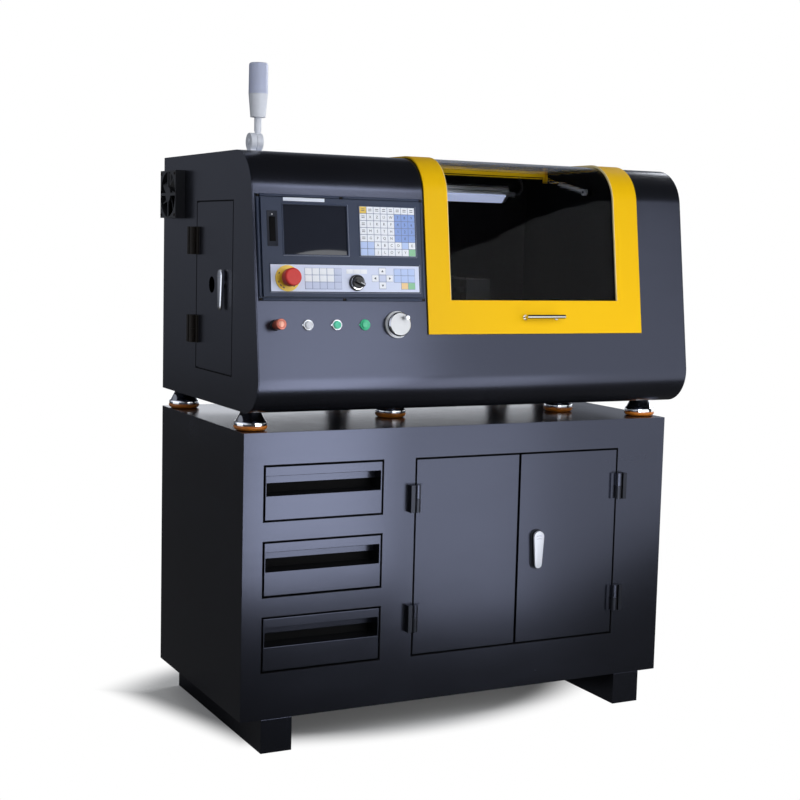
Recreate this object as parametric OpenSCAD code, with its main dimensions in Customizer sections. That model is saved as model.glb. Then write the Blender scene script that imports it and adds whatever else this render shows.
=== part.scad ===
// Benchtop CNC lathe on a matching steel cabinet. Lengths are millimetres and angles are degrees.
// The model is drawn from the front left corner of the cabinet, on the floor, with X to the right,
// Y to the back and Z up. placed() then moves it so that its origin is the middle of its footprint.

/* [Overall] */
// Width of the cabinet and of the lathe casing
body_w = 1200; // [1180:5:1300]
// Depth of the cabinet, from its front to its back
body_d = 600; // [585:5:680]
// Thickness of the folded sheet of the cabinet and the casing
sheet = 3; // [2:0.5:4]
// Radial play of a pin or shaft in its bore
run_fit = 0.05; // [0.02:0.01:0.1]
// Gap between pieces that move past each other
slide_gap = 0.4; // [0.3:0.1:0.6]

/* [Cabinet] */
// Height of the skids under the cabinet
skid_h = 83; // [60:1:100]
// Width of one skid
skid_w = 80; // [50:1:110]
// Distance of each skid from the cabinet's side
skid_inset = 53; // [20:1:90]
// Height of the cabinet above its skids
cab_h = 689; // [670:1:760]
// Depth of the folded returns around the front openings
return_d = 20; // [12:1:24]
// Distance from the cabinet's top to the upper edge of the top drawer
front_margin = 78; // [60:1:90]
// Distance from the cabinet's left side to the drawers
drawer_x = 52; // [40:1:60]
// Width of a drawer opening
drawer_w = 311; // [290:1:320]
// Height of the plain band below the bottom drawer
base_margin = 115; // [100:1:130]
// Height of the band between two drawers
drawer_space = 48.5; // [40:0.5:56]
// Gap between a drawer's back and the cabinet's back wall
drawer_back = 67; // [55:1:160]
// Gap around drawers and doors
front_gap = 3.5; // [2:0.1:5]
// Gap between the two cabinet doors
mid_gap = 7; // [3:0.5:9]
// Height of the upper band of a drawer front
band_h = 22; // [15:1:26]
// Height of the lower panel of a drawer front
lower_h = 57; // [45:1:62]
// Depth of the finger recess in a drawer front
recess_d = 60; // [45:1:70]
// Depth at which the pull lip hangs in the finger recess
lip_d = 38; // [25:1:42]
// Height of the pull lip
lip_h = 23; // [14:1:26]
// Distance from the cabinet's left side to the cupboard
cupboard_x = 452; // [435:1:470]
// Distance from the cupboard to the cabinet's right side
cupboard_right = 149; // [120:1:170]
// Depth of a cupboard door's folded edge
door_d = 18; // [12:1:20]

/* [Hinges and locks] */
// Height of a side or cupboard hinge
hinge_h = 68; // [50:1:80]
// Radius of a hinge barrel
barrel_r = 9; // [7:0.5:10]
// Radius of a hinge pin
pin_r = 2.5; // [2:0.1:3]
// Width of a hinge leaf from the pin
leaf_w = 20; // [16:1:26]
// Thickness of the swinging leaf
leaf_t = 5; // [3:0.5:5]
// Distance of the cupboard hinges from the cupboard's top and bottom
hinge_inset = 98; // [70:1:130]
// Width of a lock lever
lever_w = 28; // [22:1:34]
// Length of a lock lever
lever_l = 97; // [80:1:110]
// How far a lock lever stands out
lever_h = 12; // [10:1:24]
// Radius of a lock spindle
lock_r = 6; // [4:0.5:8]
// Distance from the meeting edge of the doors to the lock
lock_x = 56; // [40:1:90]
// Height of the lock above the middle of the cabinet doors
lock_rise = 13; // [0:1:30]

/* [Feet] */
// Radius of a levelling foot
foot_r = 40; // [30:1:44]
// Height of the orange pad
pad_h = 11; // [8:1:14]
// Height of the upright band of a foot's dome
dome_band = 10; // [6:1:14]
// Height from the cabinet's top to the casing
foot_h = 48; // [40:1:60]
// Distance of the outer feet from the sides
foot_inset = 40; // [36:1:60]
// Distance of the front feet from the cabinet's front
foot_front = 62; // [55:1:90]
// Distance of the back feet from the cabinet's back
foot_back = 59; // [50:1:90]
// Distance of the middle feet from the left side
foot_mid = 486; // [400:1:560]
// Distance of the front middle foot from the cabinet's front
foot_mid_front = 215; // [170:1:260]

/* [Lathe casing] */
// Height of the casing
case_h = 604; // [590:2:660]
// Lean of the casing's front, backwards from upright
front_lean = 7.8; // [6:0.1:9]
// Reach of the casing's front past the cabinet's front, at the lower corner
front_reach = 85; // [75:1:95]
// Height of that lower corner above the casing's bottom
low_rise = 73; // [68:1:80]
// Radius of the bend from the front to the top
top_r = 100; // [85:1:110]
// Radius of the bend from the front to the bottom
bottom_r = 82; // [50:1:90]

/* [Front door] */
// Distance from the casing's left side to the door
door_x = 438; // [436:1:445]
// Distance from the door to the casing's right side
door_right = 143; // [130:1:160]
// Distance of the door's lower edge up the front
door_t = 111; // [100:1:120]
// Distance of the door's back edge from the cabinet's front
door_back = 405; // [395:1:420]
// Thickness of the door's sheet
door_sheet = 4; // [3:0.5:5]
// Gap between the door and the casing
door_gap = 1.5; // [1:0.1:2.5]
// How far the door laps over its opening
door_lap = 14; // [10:1:18]
// Width of the left stile
stile_left = 63; // [50:1:70]
// Width of the right stile
stile_right = 73; // [60:1:80]
// Height of the bottom rail
rail_low = 82; // [70:1:90]
// Depth of the back rail
rail_back = 60; // [50:1:70]
// Depth of the stiffener that hangs from the back rail
rail_drop = 17; // [10:1:20]
// Thickness of the window
window_t = 4; // [3:0.5:5]
// How far the window laps behind the frame
window_lap = 10; // [6:1:14]
// Length of the handle bar
handle_l = 110; // [80:1:140]
// Radius of the handle bar
handle_r = 5; // [4:0.5:7]
// Stand-off of the handle's axis from the door
handle_out = 26; // [20:1:34]
// Distance of the handle from the door's lower edge
handle_t = 40; // [30:1:48]
// Distance from the door's left edge to the handle's middle
handle_x = 315; // [280:1:340]
// Width of one door hinge
piano_w = 80; // [60:1:100]
// Radius of a door hinge knuckle
knuckle_r = 5; // [4.5:0.1:6]

/* [Gas strut] */
// Distance of the fixed pivot from the cabinet's front
strut_y = 160; // [150:1:175]
// Depth of the fixed pivot below the casing's top
strut_drop = 59; // [52:1:64]
// Radius of the strut's tube
tube_r = 7.5; // [6:0.5:9]
// Length of the strut's tube
tube_l = 112; // [100:1:118]
// Radius of the strut's rod
rod_r = 3; // [2.5:0.1:4]
// Distance of the door pivot in front of the hinge pin
pivot_fore = 67; // [62:1:72]
// Depth of the door pivot below the hinge pin
pivot_drop = 27; // [24:1:30]

/* [Control panel] */
// Left edge of the controller's bezel
bezel_x = 8; // [6:1:9]
// Width of the bezel
bezel_w = 424; // [420:1:427]
// Distance from the bend of the front down to the bezel
bezel_t = 14.9; // [8:0.1:16]
// Height of the bezel
bezel_h = 244; // [240:1:248]
// Thickness of the bezel's rim
rim_t = 3; // [2:0.5:4]
// How far the bezel's face stands above its rim
face_t = 7; // [5:0.5:9]
// Width of the rim around the face
rim_w = 9; // [6:1:12]
// Depth of the controller's box behind the panel
box_d = 60; // [40:1:80]
// Distance from the bezel's edges to the screen
screen_x = 63; // [56:1:68]
// Lower edge of the screen above the bezel's lower edge
screen_t = 106; // [102:1:110]
// Width of the screen
screen_w = 159; // [150:1:164]
// Height of the screen
screen_h = 114; // [108:1:118]
// Depth of the screen below the face
screen_sink = 3; // [2:0.5:4]
// Thickness of the screen
screen_thk = 3; // [2:0.5:4]
// Distance from the bezel's left edge to the key film
keys_x = 255; // [248:1:258]
// Width of the key film
keys_w = 144; // [138:1:150]
// Height of the key film
keys_h = 115; // [108:1:118]
// Distance from the bezel's left edge to the operator film
strip_x = 27.5; // [24:0.5:30]
// Lower edge of the operator film above the bezel's lower edge
strip_t = 21; // [18:1:23]
// Width of the operator film
strip_w = 378.5; // [370:0.5:382]
// Height of the operator film
strip_h = 61.6; // [60:0.2:66]
// Depth of the pockets that hold the films
film_sink = 0.8; // [0.4:0.1:1]
// Thickness of the films
film_t = 1; // [0.6:0.1:1.2]
// Distance from the bezel's left edge to the emergency stop
estop_x = 68; // [60:1:76]
// Distance of the emergency stop above the bezel's lower edge
estop_t = 51; // [49:1:53]
// Radius of the emergency stop's plate
estop_plate_r = 30; // [26:1:31]
// Radius of the emergency stop's head
estop_r = 20.5; // [18:0.5:23]
// Height of the emergency stop's head above its plate
estop_h = 36; // [30:1:42]
// Distance from the bezel's left edge to the override knob
knob_x = 241; // [236:1:246]
// Distance of the override knob above the bezel's lower edge
knob_t = 42; // [40:1:44]
// Radius of the override knob
knob_r = 19; // [16:0.5:21]
// Distance from the bezel down to the push buttons
button_t = 55; // [50:1:62]
// Distance from the casing's left side to the red push button
button_x = 47; // [40:1:60]
// Distance from the red push button to the white one
button_step = 80; // [70:1:86]
// Distance from the white push button to the first green one and from that to the next
button_pitch = 72.2; // [64:0.1:76]
// Radius of a push button's ring
ring_r = 13; // [12:0.5:16]
// Radius of a push button's cap
cap_r = 9; // [7:0.5:10]
// Radius of the red push button's head
head_r = 12.5; // [11:0.5:14]
// How far the red push button stands out
head_out = 32; // [24:1:36]
// Distance from the casing's left side to the handwheel
wheel_x = 355; // [340:1:375]
// Radius of the handwheel
wheel_r = 29; // [25:1:34]
// Thickness of the handwheel
wheel_h = 15; // [10:1:20]
// Radius of the handwheel's grip
grip_r = 5.5; // [4:0.5:7]
// Length of the handwheel's grip
grip_l = 18; // [14:1:24]

/* [Side door and fan] */
// Distance from the casing's back to the front edge of the side door
side_y = 512; // [500:1:520]
// Width of the side door
side_w = 250; // [235:1:262]
// Height of the side door's lower edge above the casing's bottom
side_rise = 78; // [70:1:90]
// Height of the side door
side_h = 409; // [380:1:430]
// Radius of the bar hole
bar_r = 20; // [14:1:24]
// Distance from the front edge of the side door to its lock
side_lock = 58; // [45:1:70]
// Height of the side lock above the door's lower edge
side_lock_z = 216; // [190:1:240]
// Distance from the side door's lower edge to the middle of the lower side hinge
side_hinge_inset = 96; // [70:1:110]
// Distance from the lower end of the upper side hinge to the side door's top
side_hinge_top = 129; // [110:1:150]
// Side of the fan's square frame
fan_w = 120; // [92:1:125]
// Depth of the fan
fan_d = 25; // [22:1:32]
// Distance of the fan's middle from the back of the casing
fan_back = 107; // [90:1:140]
// Distance of the fan's middle from the top of the casing
fan_drop = 97; // [80:1:110]
// Radius of the fan's hub
fan_hub_r = 19; // [15:1:24]

/* [Beacon] */
// Distance of the beacon from the left side
beacon_x = 75; // [60:1:100]
// Distance of the beacon from the cabinet's front
beacon_y = 150; // [130:1:180]
// Radius of the beacon's knuckle
beacon_knuckle_r = 21; // [18:0.5:24]
// Width of the beacon's knuckle
beacon_knuckle_w = 30; // [24:1:36]
// Height of the beacon's neck above the knuckle's pin
neck_h = 58; // [45:1:70]
// Radius of the beacon's neck
neck_r = 8.5; // [7:0.5:11]
// Height of the beacon's housing
housing_h = 55; // [45:1:65]
// Radius of the housing's lower end
housing_r = 18; // [16:0.5:20]
// Radius of the lens
lens_r = 23; // [20:0.5:24]
// Height of the lens
lens_h = 72; // [60:1:90]

/* [Work area] */
// Distance of the liner's back wall from the cabinet's front
liner_back = 490; // [480:1:510]
// Distance from the casing's back to the spindle
spindle_y = 372; // [366:1:380]
// Height of the spindle above the casing's bottom
spindle_rise = 287; // [280:1:295]
// Distance from the left side of the door's opening to the lamp
lamp_left = 198; // [150:1:240]
// Distance from the lamp to the right side of the door's opening
lamp_right = 78; // [70:1:100]
// Depth of the lamp's upper edge below the casing's top
lamp_drop = 38; // [34:1:44]
// Radius of the lamp's cable
cable_r = 3; // [2.5:0.1:3.5]

/* [Drive and slides] */
// Radius of the spindle
spindle_r = 30; // [26:1:34]
// Radius of the hole through the spindle
spindle_bore = 16; // [10:1:20]
// Width of the headstock
head_w = 180; // [150:2:196]
// Length of the headstock
head_l = 240; // [200:5:260]
// Height of the bed above the base pan
bed_h = 107; // [95:1:115]
// Width of the bed
bed_w = 280; // [270:2:300]
// Radius of the ball screw
screw_r = 10; // [8:0.5:12]
// Width of a guide rail
rail_w = 20; // [15:1:25]
// Height of a guide rail
rail_h = 18; // [14:1:22]
// Length of the carriage
carriage_l = 220; // [190:5:240]
// Height of the carriage's plate
carriage_h = 56; // [48:1:62]
// Width of the cross slide's table
table_w = 260; // [240:5:270]
// Length of the cross slide's table
table_l = 290; // [270:5:310]
// Thickness of the cross slide's table
table_h = 34; // [30:1:38]
// Radius of the belt pulleys
pulley_r = 45; // [36:1:50]
// Width of the belt
belt_w = 25; // [15:1:30]
// Thickness of the belt
belt_t = 5; // [3:0.5:6]
// Side of the spindle motor
motor_w = 120; // [100:2:130]
// Length of the spindle motor
motor_l = 220; // [180:5:240]
// Distance of the motor's shaft behind the spindle
motor_back = 212; // [205:1:220]
// Distance of the motor's shaft below the spindle
motor_drop = 107; // [100:1:114]

/* [Hidden] */
$fn = 96;

// Colours
paint = [0.13, 0.14, 0.17];
yellow = [0.93, 0.75, 0.02];
slate = [0.28, 0.30, 0.37];
chrome = [0.80, 0.81, 0.83];
iron = [0.36, 0.38, 0.40];
rubber = [0.07, 0.07, 0.08];

// Levels
cab_top = skid_h + cab_h;
case_bottom = cab_top + foot_h;
case_top = case_bottom + case_h;
pan_top = case_bottom + sheet;
far = body_w + body_d + cab_top + case_h;
eps = 1;

// Cabinet front
cupboard_w = body_w - cupboard_x - cupboard_right;
drawer_top_z = cab_top - front_margin;
drawer_h = (cab_h - front_margin - base_margin - 2 * drawer_space) / 3;
drawer_pitch = drawer_h + drawer_space;
cupboard_h = 2 * drawer_pitch + drawer_h;
cupboard_bottom = drawer_top_z - cupboard_h;
cupboard_mid = cupboard_x + cupboard_w / 2;
partition_x = (drawer_x + drawer_w + cupboard_x) / 2;
shelf_z = cupboard_bottom + cupboard_h / 2;
box_inset = 10;
box_rise = 10;
box_top_drop = 22;
ledge_lap = 12;
cab_inner_back = body_d - sheet;
drawer_l = cab_inner_back - recess_d - drawer_back;
hinge_zs = [cupboard_bottom + hinge_inset, drawer_top_z - hinge_inset];
barrel_out = barrel_r + slide_gap;
lock_pos = [cupboard_mid + lock_x, drawer_top_z - cupboard_h / 2 + lock_rise];
lever_tail = lever_l * 2 / 3;
lock_plate_t = 3;
lock_plate_rim = 3;
cam_l = 28;
cam_w = 14;
cam_t = 4;
cam_clear = 2;

// Feet: one near each corner and two in the middle
foot_spots = [
    for (y = [foot_front, body_d - foot_back], x = [foot_inset, body_w - foot_inset]) [x, y],
    [foot_mid, foot_mid_front], [foot_mid, body_d - foot_back]
];
dome_r = foot_r - 1;
dome_top_r = foot_r * 0.55;

// Casing outline in the YZ plane: the front is a line that leans back by front_lean
low_z = case_bottom + low_rise;
low_y = -front_reach;
arc_steps = 24;
top_c = arc_centre(case_top - top_r, top_r);
low_c = arc_centre(case_bottom + bottom_r, bottom_r);
function arc_centre(z, r) =
    [low_y + (r + (z - low_z) * sin(front_lean)) / cos(front_lean), z];

// Front door
door_w = body_w - door_x - door_right;
opening_rest = 6;
open_x0 = door_x + door_lap;
open_x1 = door_x + door_w - door_lap;
open_back = door_back - door_lap - opening_rest;
win_x0 = door_x + stile_left;
win_x1 = door_x + door_w - stile_right;
win_t = door_t + rail_low;
win_back = door_back - rail_back;
hinge_pin = [door_back + knuckle_r + 2, case_top + knuckle_r + slide_gap];
piano_xs = [door_x + piano_w * 1.5, door_x + door_w - piano_w * 1.5];
knuckle_w = piano_w * 0.4;
knuckle_gap = 0.5;
leaf_back = 34;

// Gas strut: fixed pivot, door pivot and the line between them
strut_pivot = [strut_y, case_top - strut_drop];
door_pivot = [hinge_pin[0] - pivot_fore, hinge_pin[1] - pivot_drop];
strut_v = door_pivot - strut_pivot;
strut_l = norm(strut_v);
strut_a = atan2(strut_v[1], strut_v[0]);
strut_clear = 20;
strut_x = open_x1 - strut_clear;
eye_r = 9;
eye_w = 10;
stud_pin_r = 4;
bracket_t = 3;
bracket_w = 20;
bracket_x1 = strut_x - eye_w / 2 - 1;
rod_inside = 70;

// Control panel, on the leaning front: x to the right, y up the slope, z outwards
front_run = (top_c[1] + top_r * sin(front_lean) - low_z) / cos(front_lean);
bezel_low = front_run - bezel_t - bezel_h;
button_row = bezel_low - button_t;
face_z = rim_t + face_t;
film_z = face_z - film_sink;
film_top = film_z + film_t;
box_inset_x = 12;
panel_clear = 1;
estop_stem_r = 11;
estop_plate_t = 2;
estop_travel = 5;
estop_gap = 8;
estop_stem_l = 12;
knob_base_h = 8;
knob_h = 22;
knob_bar_w = 11;
knob_shaft_r = 4;
knob_shaft_l = 14;
knob_step_r = knob_r * 0.72;
knob_step_h = 4;
knob_bar_l = knob_r * 1.6;
ring_h = 4;
ring_wall = 1.6;
bush_d = 24;
button_xs = [for (k = [0:3]) button_x + (k > 0 ? button_step + (k - 1) * button_pitch : 0)];
cap_out = [head_out, 3, 3, 4];
press = 4;
head_gap = press + 4;
cap_foot = 4;
cap_bevel = 2;
wheel_base_h = 6;
wheel_base_r = wheel_r + 3;
wheel_shaft_r = 7;
wheel_bush_r = 18;
wheel_bevel = 3;
wheel_shaft_end = 2;
grip_at = wheel_r * 0.62;
grip_turn = 52;
grip_pin_r = 2.5;
grip_wall = 1;
grip_neck_r = grip_r * 0.8;
wheel_z = wheel_base_h + slide_gap;
wheel_top = wheel_z + wheel_h;

// Side door on the left plate
side_front = body_d - side_y;
side_z = case_bottom + side_rise;
side_gap = 2;
side_t = sheet - slide_gap;
stop_lap = 8;
stop_t = 2;
side_hinge_zs = [side_z + side_hinge_inset - hinge_h / 2, side_z + side_h - side_hinge_top];
side_lock_pos = [side_front + side_lock, side_z + side_lock_z];
spindle_z = case_bottom + spindle_rise;
axis_y = body_d - spindle_y;

// Fan on the left plate
fan_c = [body_d - fan_back, case_top - fan_drop];
fan_bore = fan_w / 2 - 3;
fan_spoke_w = 7;
fan_spoke_t = 3;
fan_pin_r = 3;
fan_blades = 7;
blade_tilt = 38;
blade_t = 1.8;
fan_tip_gap = 1.5;

// Beacon on top
beacon_flange_h = 3;
beacon_flange_r = 26;
beacon_pin_z = case_top + beacon_flange_h + beacon_knuckle_r + slide_gap;
beacon_pin_r = 4;
neck_x = beacon_knuckle_w / 4;
housing_z = beacon_pin_z + neck_h;
lens_z = housing_z + housing_h;

// Work area, lamp and its cable
liner_x0 = open_x0 - sheet - 1;
liner_x1 = open_x1;
panel_gap = 0.3;
nose_r = spindle_r + 8;
nose_clear = 7;
lamp_x = [open_x0 + lamp_left, open_x1 - lamp_right];
lamp_top = case_top - lamp_drop;
lamp_d = 43;
lamp_h = 48;
diffuser_t = 4;
diffuser_end = 14;
gland_r = 7;
gland_l = 24;
gland_at = [liner_back - 26, lamp_top - 24];
cable_sides = 10;
cable_steps = 6;
cable_up = case_top - sheet - gland_at[1];
cable_route = [
    [-14, 0], [0, 0], [14, 2], [25, 16], [23, 35], [15, 49], [12, cable_up], [12, cable_up + 12]
];

// Bed, slides and drive
bed_off = 30;
bed_mid = axis_y + bed_off;
bed_x0 = 150;
bed_end = 34;
bed_x1 = liner_x1 - bed_end;
bed_top = pan_top + bed_h;
bed_clear = 2;
head_x1 = liner_x0 - 10;
head_x0 = head_x1 - head_l;
head_top = spindle_z + head_w / 2;
rail_dy = bed_w / 2 - 32;
rail_x0 = liner_x0 + sheet + 20;
screw_z = bed_top + rail_h + screw_r - 4;
screw_block_l = 22;
screw_block_w = 50;
carriage_off = 10;
carriage_x = (rail_x0 + bed_x1 - carriage_l) / 2 + carriage_off;
carriage_w = bed_w - 20;
carriage_z = bed_top + slide_gap + 3;
carriage_top = carriage_z + carriage_h;
guide_w = 80;
guide_h = 20;
table_x = carriage_x + (carriage_l - table_w) / 2;
table_y = bed_mid - table_l / 2;
table_z = carriage_top + slide_gap;
table_top = table_z + table_h;
slot_w = 12;
slot_h = 5;
slot_flange_w = 21;
slot_flange_h = 5;
slot_count = 3;
tool_w = 34;
tool_l = 70;
tool_pitch = 78;
tool_top = spindle_z + 22;
bit_w = 12;
bit_out = 26;
nut_l = 30;
nut_r = nose_r - 2;
nut_step = 4;
nut_taper = 8;
nut_nose = 9;
nose_x1 = liner_x0 + sheet + 19;
spindle_x0 = 30;
pulley_x = 60;
motor_y = axis_y + motor_back;
motor_z = spindle_z - motor_drop;
motor_gap = 20;
motor_x0 = pulley_x + belt_w + motor_gap;
motor_shaft_r = 12;
drive_v = [motor_back, -motor_drop];
drive_l = norm(drive_v);
drive_a = atan2(drive_v[1], drive_v[0]);
belt_play = 0.3;

// The middle of the footprint, from the fan on the left to the right side and from the grip to the back
grip_reach = (wheel_top + grip_l + slide_gap) * cos(front_lean);
grip_low = button_row + grip_at * sin(grip_turn) - grip_neck_r;
front_most = front_reach - grip_low * sin(front_lean) + grip_reach;
centre_x = (body_w - fan_d) / 2;
centre_y = (body_d - front_most) / 2;

// Helpers
function around(middle, half) = [middle - half, middle + half];

module placed() {
    translate([-centre_x, -centre_y, 0]) children();
}

module block(x, y, z) {
    translate([x[0], y[0], z[0]]) cube([x[1] - x[0], y[1] - y[0], z[1] - z[0]]);
}

// A bar of circular section along X, Y or Z
module x_bar(x, y, z, r) {
    translate([x[0], y, z]) rotate([0, 90, 0]) cylinder(r = r, h = x[1] - x[0]);
}

module y_bar(x, y, z, r) {
    translate([x, y[0], z]) rotate([-90, 0, 0]) cylinder(r = r, h = y[1] - y[0]);
}

module z_bar(x, y, z, r) {
    translate([x, y, z[0]]) cylinder(r = r, h = z[1] - z[0]);
}

// A flat shape in the YZ plane, extruded along X
module along_x(x) {
    translate([x[0], 0, 0]) rotate([90, 0, 90]) linear_extrude(x[1] - x[0]) children();
}

// A rectangle with round corners, centred on the origin
module round_rect(w, h, r) {
    square([w - 2 * r, h], center = true);
    square([w, h - 2 * r], center = true);
    for (sx = [-1, 1], sy = [-1, 1])
        translate([sx * (w / 2 - r), sy * (h / 2 - r)]) circle(r);
}

// Places children on the leaning front: x to the right, y up the slope, z outwards
module on_front(x, t) {
    translate([x, low_y, low_z]) rotate([90 - front_lean, 0, 0]) translate([0, t, 0]) children();
}

module on_bezel(x, t) {
    on_front(bezel_x + x, bezel_low + t) children();
}

// Points on an arc around c, from angle a0 to angle a1
function arc_points(c, r, a0, a1) = [
    for (i = [0:arc_steps]) let (a = a0 + (a1 - a0) * i / arc_steps) c + r * [cos(a), sin(a)]
];

// The casing's outline, drawn inwards by d
module case_profile(d) {
    polygon(concat(
        [[body_d - d, case_top - d], [body_d - d, case_bottom + d]],
        arc_points(low_c, bottom_r - d, 270, 180 - front_lean),
        arc_points(top_c, top_r - d, 180 - front_lean, 90)
    ));
}

// Everything above a distance t up the front
module above_t(t) {
    translate([low_y, low_z]) rotate(-front_lean) translate([-far, t]) square([2 * far, 2 * far]);
}

// Everything in front of a depth y
module before_y(y) {
    translate([y - 2 * far, -far]) square([2 * far, 4 * far]);
}

// A strip that follows the casing's outline between two distances outwards of it
module wrap_strip(inner, outer, t, y) {
    intersection() {
        difference() {
            case_profile(-outer);
            case_profile(-inner);
        }
        above_t(t);
        before_y(y);
    }
}

// Cabinet
module opening_return(x, z) {
    difference() {
        block([x[0] - sheet, x[1] + sheet], [0, return_d], [z[0] - sheet, z[1] + sheet]);
        block(x, [-eps, return_d + eps], z);
    }
}

function drawer_z(k) = drawer_top_z - k * drawer_pitch;
function drawer_box_z(k) = drawer_z(k) - drawer_h + front_gap + box_rise;

module cabinet_body() {
    cupboard = [cupboard_x, cupboard_x + cupboard_w];
    cupboard_zs = [cupboard_bottom, drawer_top_z];
    ledge_y = [recess_d + slide_gap, recess_d + drawer_l];
    ledge_left = drawer_x + front_gap + box_inset + ledge_lap;
    ledge_right = drawer_x + drawer_w - front_gap - box_inset - ledge_lap;
    color(paint) placed() {
        difference() {
            block([0, body_w], [0, body_d], [skid_h, cab_top]);
            block([sheet, body_w - sheet], [sheet, body_d - sheet], [skid_h + sheet, cab_top - sheet]);
            block(cupboard, [-eps, sheet + eps], cupboard_zs);
            for (k = [0:2])
                block([drawer_x, drawer_x + drawer_w], [-eps, sheet + eps],
                    [drawer_z(k) - drawer_h, drawer_z(k)]);
        }
        opening_return(cupboard, cupboard_zs);
        for (k = [0:2])
            opening_return([drawer_x, drawer_x + drawer_w], [drawer_z(k) - drawer_h, drawer_z(k)]);
        block([partition_x, partition_x + sheet], [sheet, cab_inner_back],
            [skid_h + sheet, cab_top - sheet]);
        block([partition_x + sheet, body_w - sheet], [return_d + sheet, cab_inner_back],
            [shelf_z, shelf_z + sheet]);
        for (k = [0:2]) {
            ledge_z = [drawer_box_z(k) - slide_gap - sheet, drawer_box_z(k) - slide_gap];
            block([sheet, ledge_left], ledge_y, ledge_z);
            block([ledge_right, partition_x], ledge_y, ledge_z);
        }
    }
}

module cabinet_skids() {
    color(paint) placed()
        for (x = [skid_inset, body_w - skid_inset - skid_w]) difference() {
            block([x, x + skid_w], [0, body_d], [0, skid_h]);
            block([x + sheet, x + skid_w - sheet], [sheet, body_d - sheet], [sheet, skid_h - sheet]);
        }
}

module drawer(k) {
    x = [drawer_x + front_gap, drawer_x + drawer_w - front_gap];
    z = [drawer_z(k) - drawer_h + front_gap, drawer_z(k) - front_gap];
    inner = [x[0] + sheet, x[1] - sheet];
    box_x = [x[0] + box_inset, x[1] - box_inset];
    box_z = [z[0] + box_rise, z[1] - box_top_drop];
    box_y = [recess_d - sheet, recess_d + drawer_l];
    band_z = z[1] - band_h;
    color(paint) placed() {
        difference() {
            block(x, [0, recess_d], z);
            block(inner, [-eps, recess_d - sheet], [z[0] + lower_h, band_z]);
            block(inner, [sheet, recess_d + eps], [z[0] + sheet, z[0] + lower_h - sheet]);
            block(inner, [sheet, recess_d + eps], [band_z + sheet, z[1] - sheet]);
        }
        block(inner, [lip_d, lip_d + sheet], [band_z - lip_h, band_z + sheet]);
        difference() {
            block(box_x, box_y, box_z);
            block([box_x[0] + sheet, box_x[1] - sheet], [recess_d, box_y[1] - sheet],
                [box_z[0] + sheet, box_z[1] + eps]);
        }
    }
}

module drawer_top() {
    drawer(0);
}

module drawer_middle() {
    drawer(1);
}

module drawer_bottom() {
    drawer(2);
}

// Swinging half of a hinge: pin line at x = 0, y = -barrel_out, panel towards +x
module swing_leaf(z) {
    mid = z + hinge_h / 2;
    difference() {
        union() {
            z_bar(0, -barrel_out, [mid + slide_gap / 2, z + hinge_h], barrel_r);
            block([0, leaf_w], [-leaf_t, 0], [mid + slide_gap / 2, z + hinge_h]);
            block([barrel_r + slide_gap, leaf_w], [-leaf_t, 0], [z, z + hinge_h]);
        }
        z_bar(0, -barrel_out, [z, z + hinge_h + eps], pin_r + run_fit);
        block([-barrel_r, front_gap], [-slide_gap, eps], [z - eps, z + hinge_h + eps]);
    }
}

// Fixed half of a hinge with its pin
module fixed_leaf(z) {
    mid = z + hinge_h / 2;
    z_bar(0, -barrel_out, [z, mid - slide_gap / 2], barrel_r);
    z_bar(0, -barrel_out, [mid - slide_gap, z + hinge_h - eps], pin_r);
    block([-leaf_w, 0], [-barrel_out, 0], [z, mid - slide_gap / 2]);
    block([-leaf_w, -barrel_r - slide_gap], [-barrel_out - barrel_r, 0], [z, z + hinge_h]);
}

module cabinet_door_left_shape() {
    x = [cupboard_x + front_gap, cupboard_mid - mid_gap / 2];
    z = [cupboard_bottom + front_gap, drawer_top_z - front_gap];
    difference() {
        block(x, [0, door_d], z);
        block([x[0] + sheet, x[1] - sheet], [sheet, door_d + eps], [z[0] + sheet, z[1] - sheet]);
    }
    for (hz = hinge_zs) translate([cupboard_x, 0, 0]) swing_leaf(hz - hinge_h / 2);
}

module mirrored_at(x) {
    translate([x, 0, 0]) mirror([1, 0, 0]) translate([-x, 0, 0]) children();
}

module cabinet_door_left() {
    color(paint) placed() cabinet_door_left_shape();
}

module cabinet_door_right() {
    color(paint) placed() difference() {
        mirrored_at(cupboard_mid) cabinet_door_left_shape();
        y_bar(lock_pos[0], [-eps, sheet + eps], lock_pos[1], lock_r + run_fit);
    }
}

module cabinet_hinge_leaves() {
    color(rubber) placed() for (hz = hinge_zs) {
        translate([cupboard_x, 0, 0]) fixed_leaf(hz - hinge_h / 2);
        mirrored_at(cupboard_mid) translate([cupboard_x, 0, 0]) fixed_leaf(hz - hinge_h / 2);
    }
}

// A lock lever: x across, y up, z outwards from the plate, with its spindle and cam behind
module lock_lever(through) {
    mid = lever_l / 2 - lever_tail;
    tip_r = lever_w / 2 - 1;
    intersection() {
        translate([0, mid, slide_gap]) linear_extrude(lever_h) round_rect(lever_w, lever_l, tip_r);
        rotate([90, 0, 90]) translate([0, 0, -lever_w]) linear_extrude(2 * lever_w)
            polygon([
                [-lever_tail - eps, 0], [-lever_tail - eps, lever_h * 0.35],
                [-lever_tail * 0.75, lever_h * 0.8], [0, lever_h + slide_gap],
                [(lever_l - lever_tail) * 0.6, lever_h + slide_gap],
                [lever_l - lever_tail + eps, lever_h * 0.55], [lever_l - lever_tail + eps, 0]
            ]);
    }
    translate([0, 0, -through]) cylinder(r = lock_r, h = through + 2 * slide_gap);
    translate([0, 0, -through]) linear_extrude(cam_t) translate([-cam_w / 2, -cam_l])
        square([cam_w, cam_l]);
}

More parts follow.
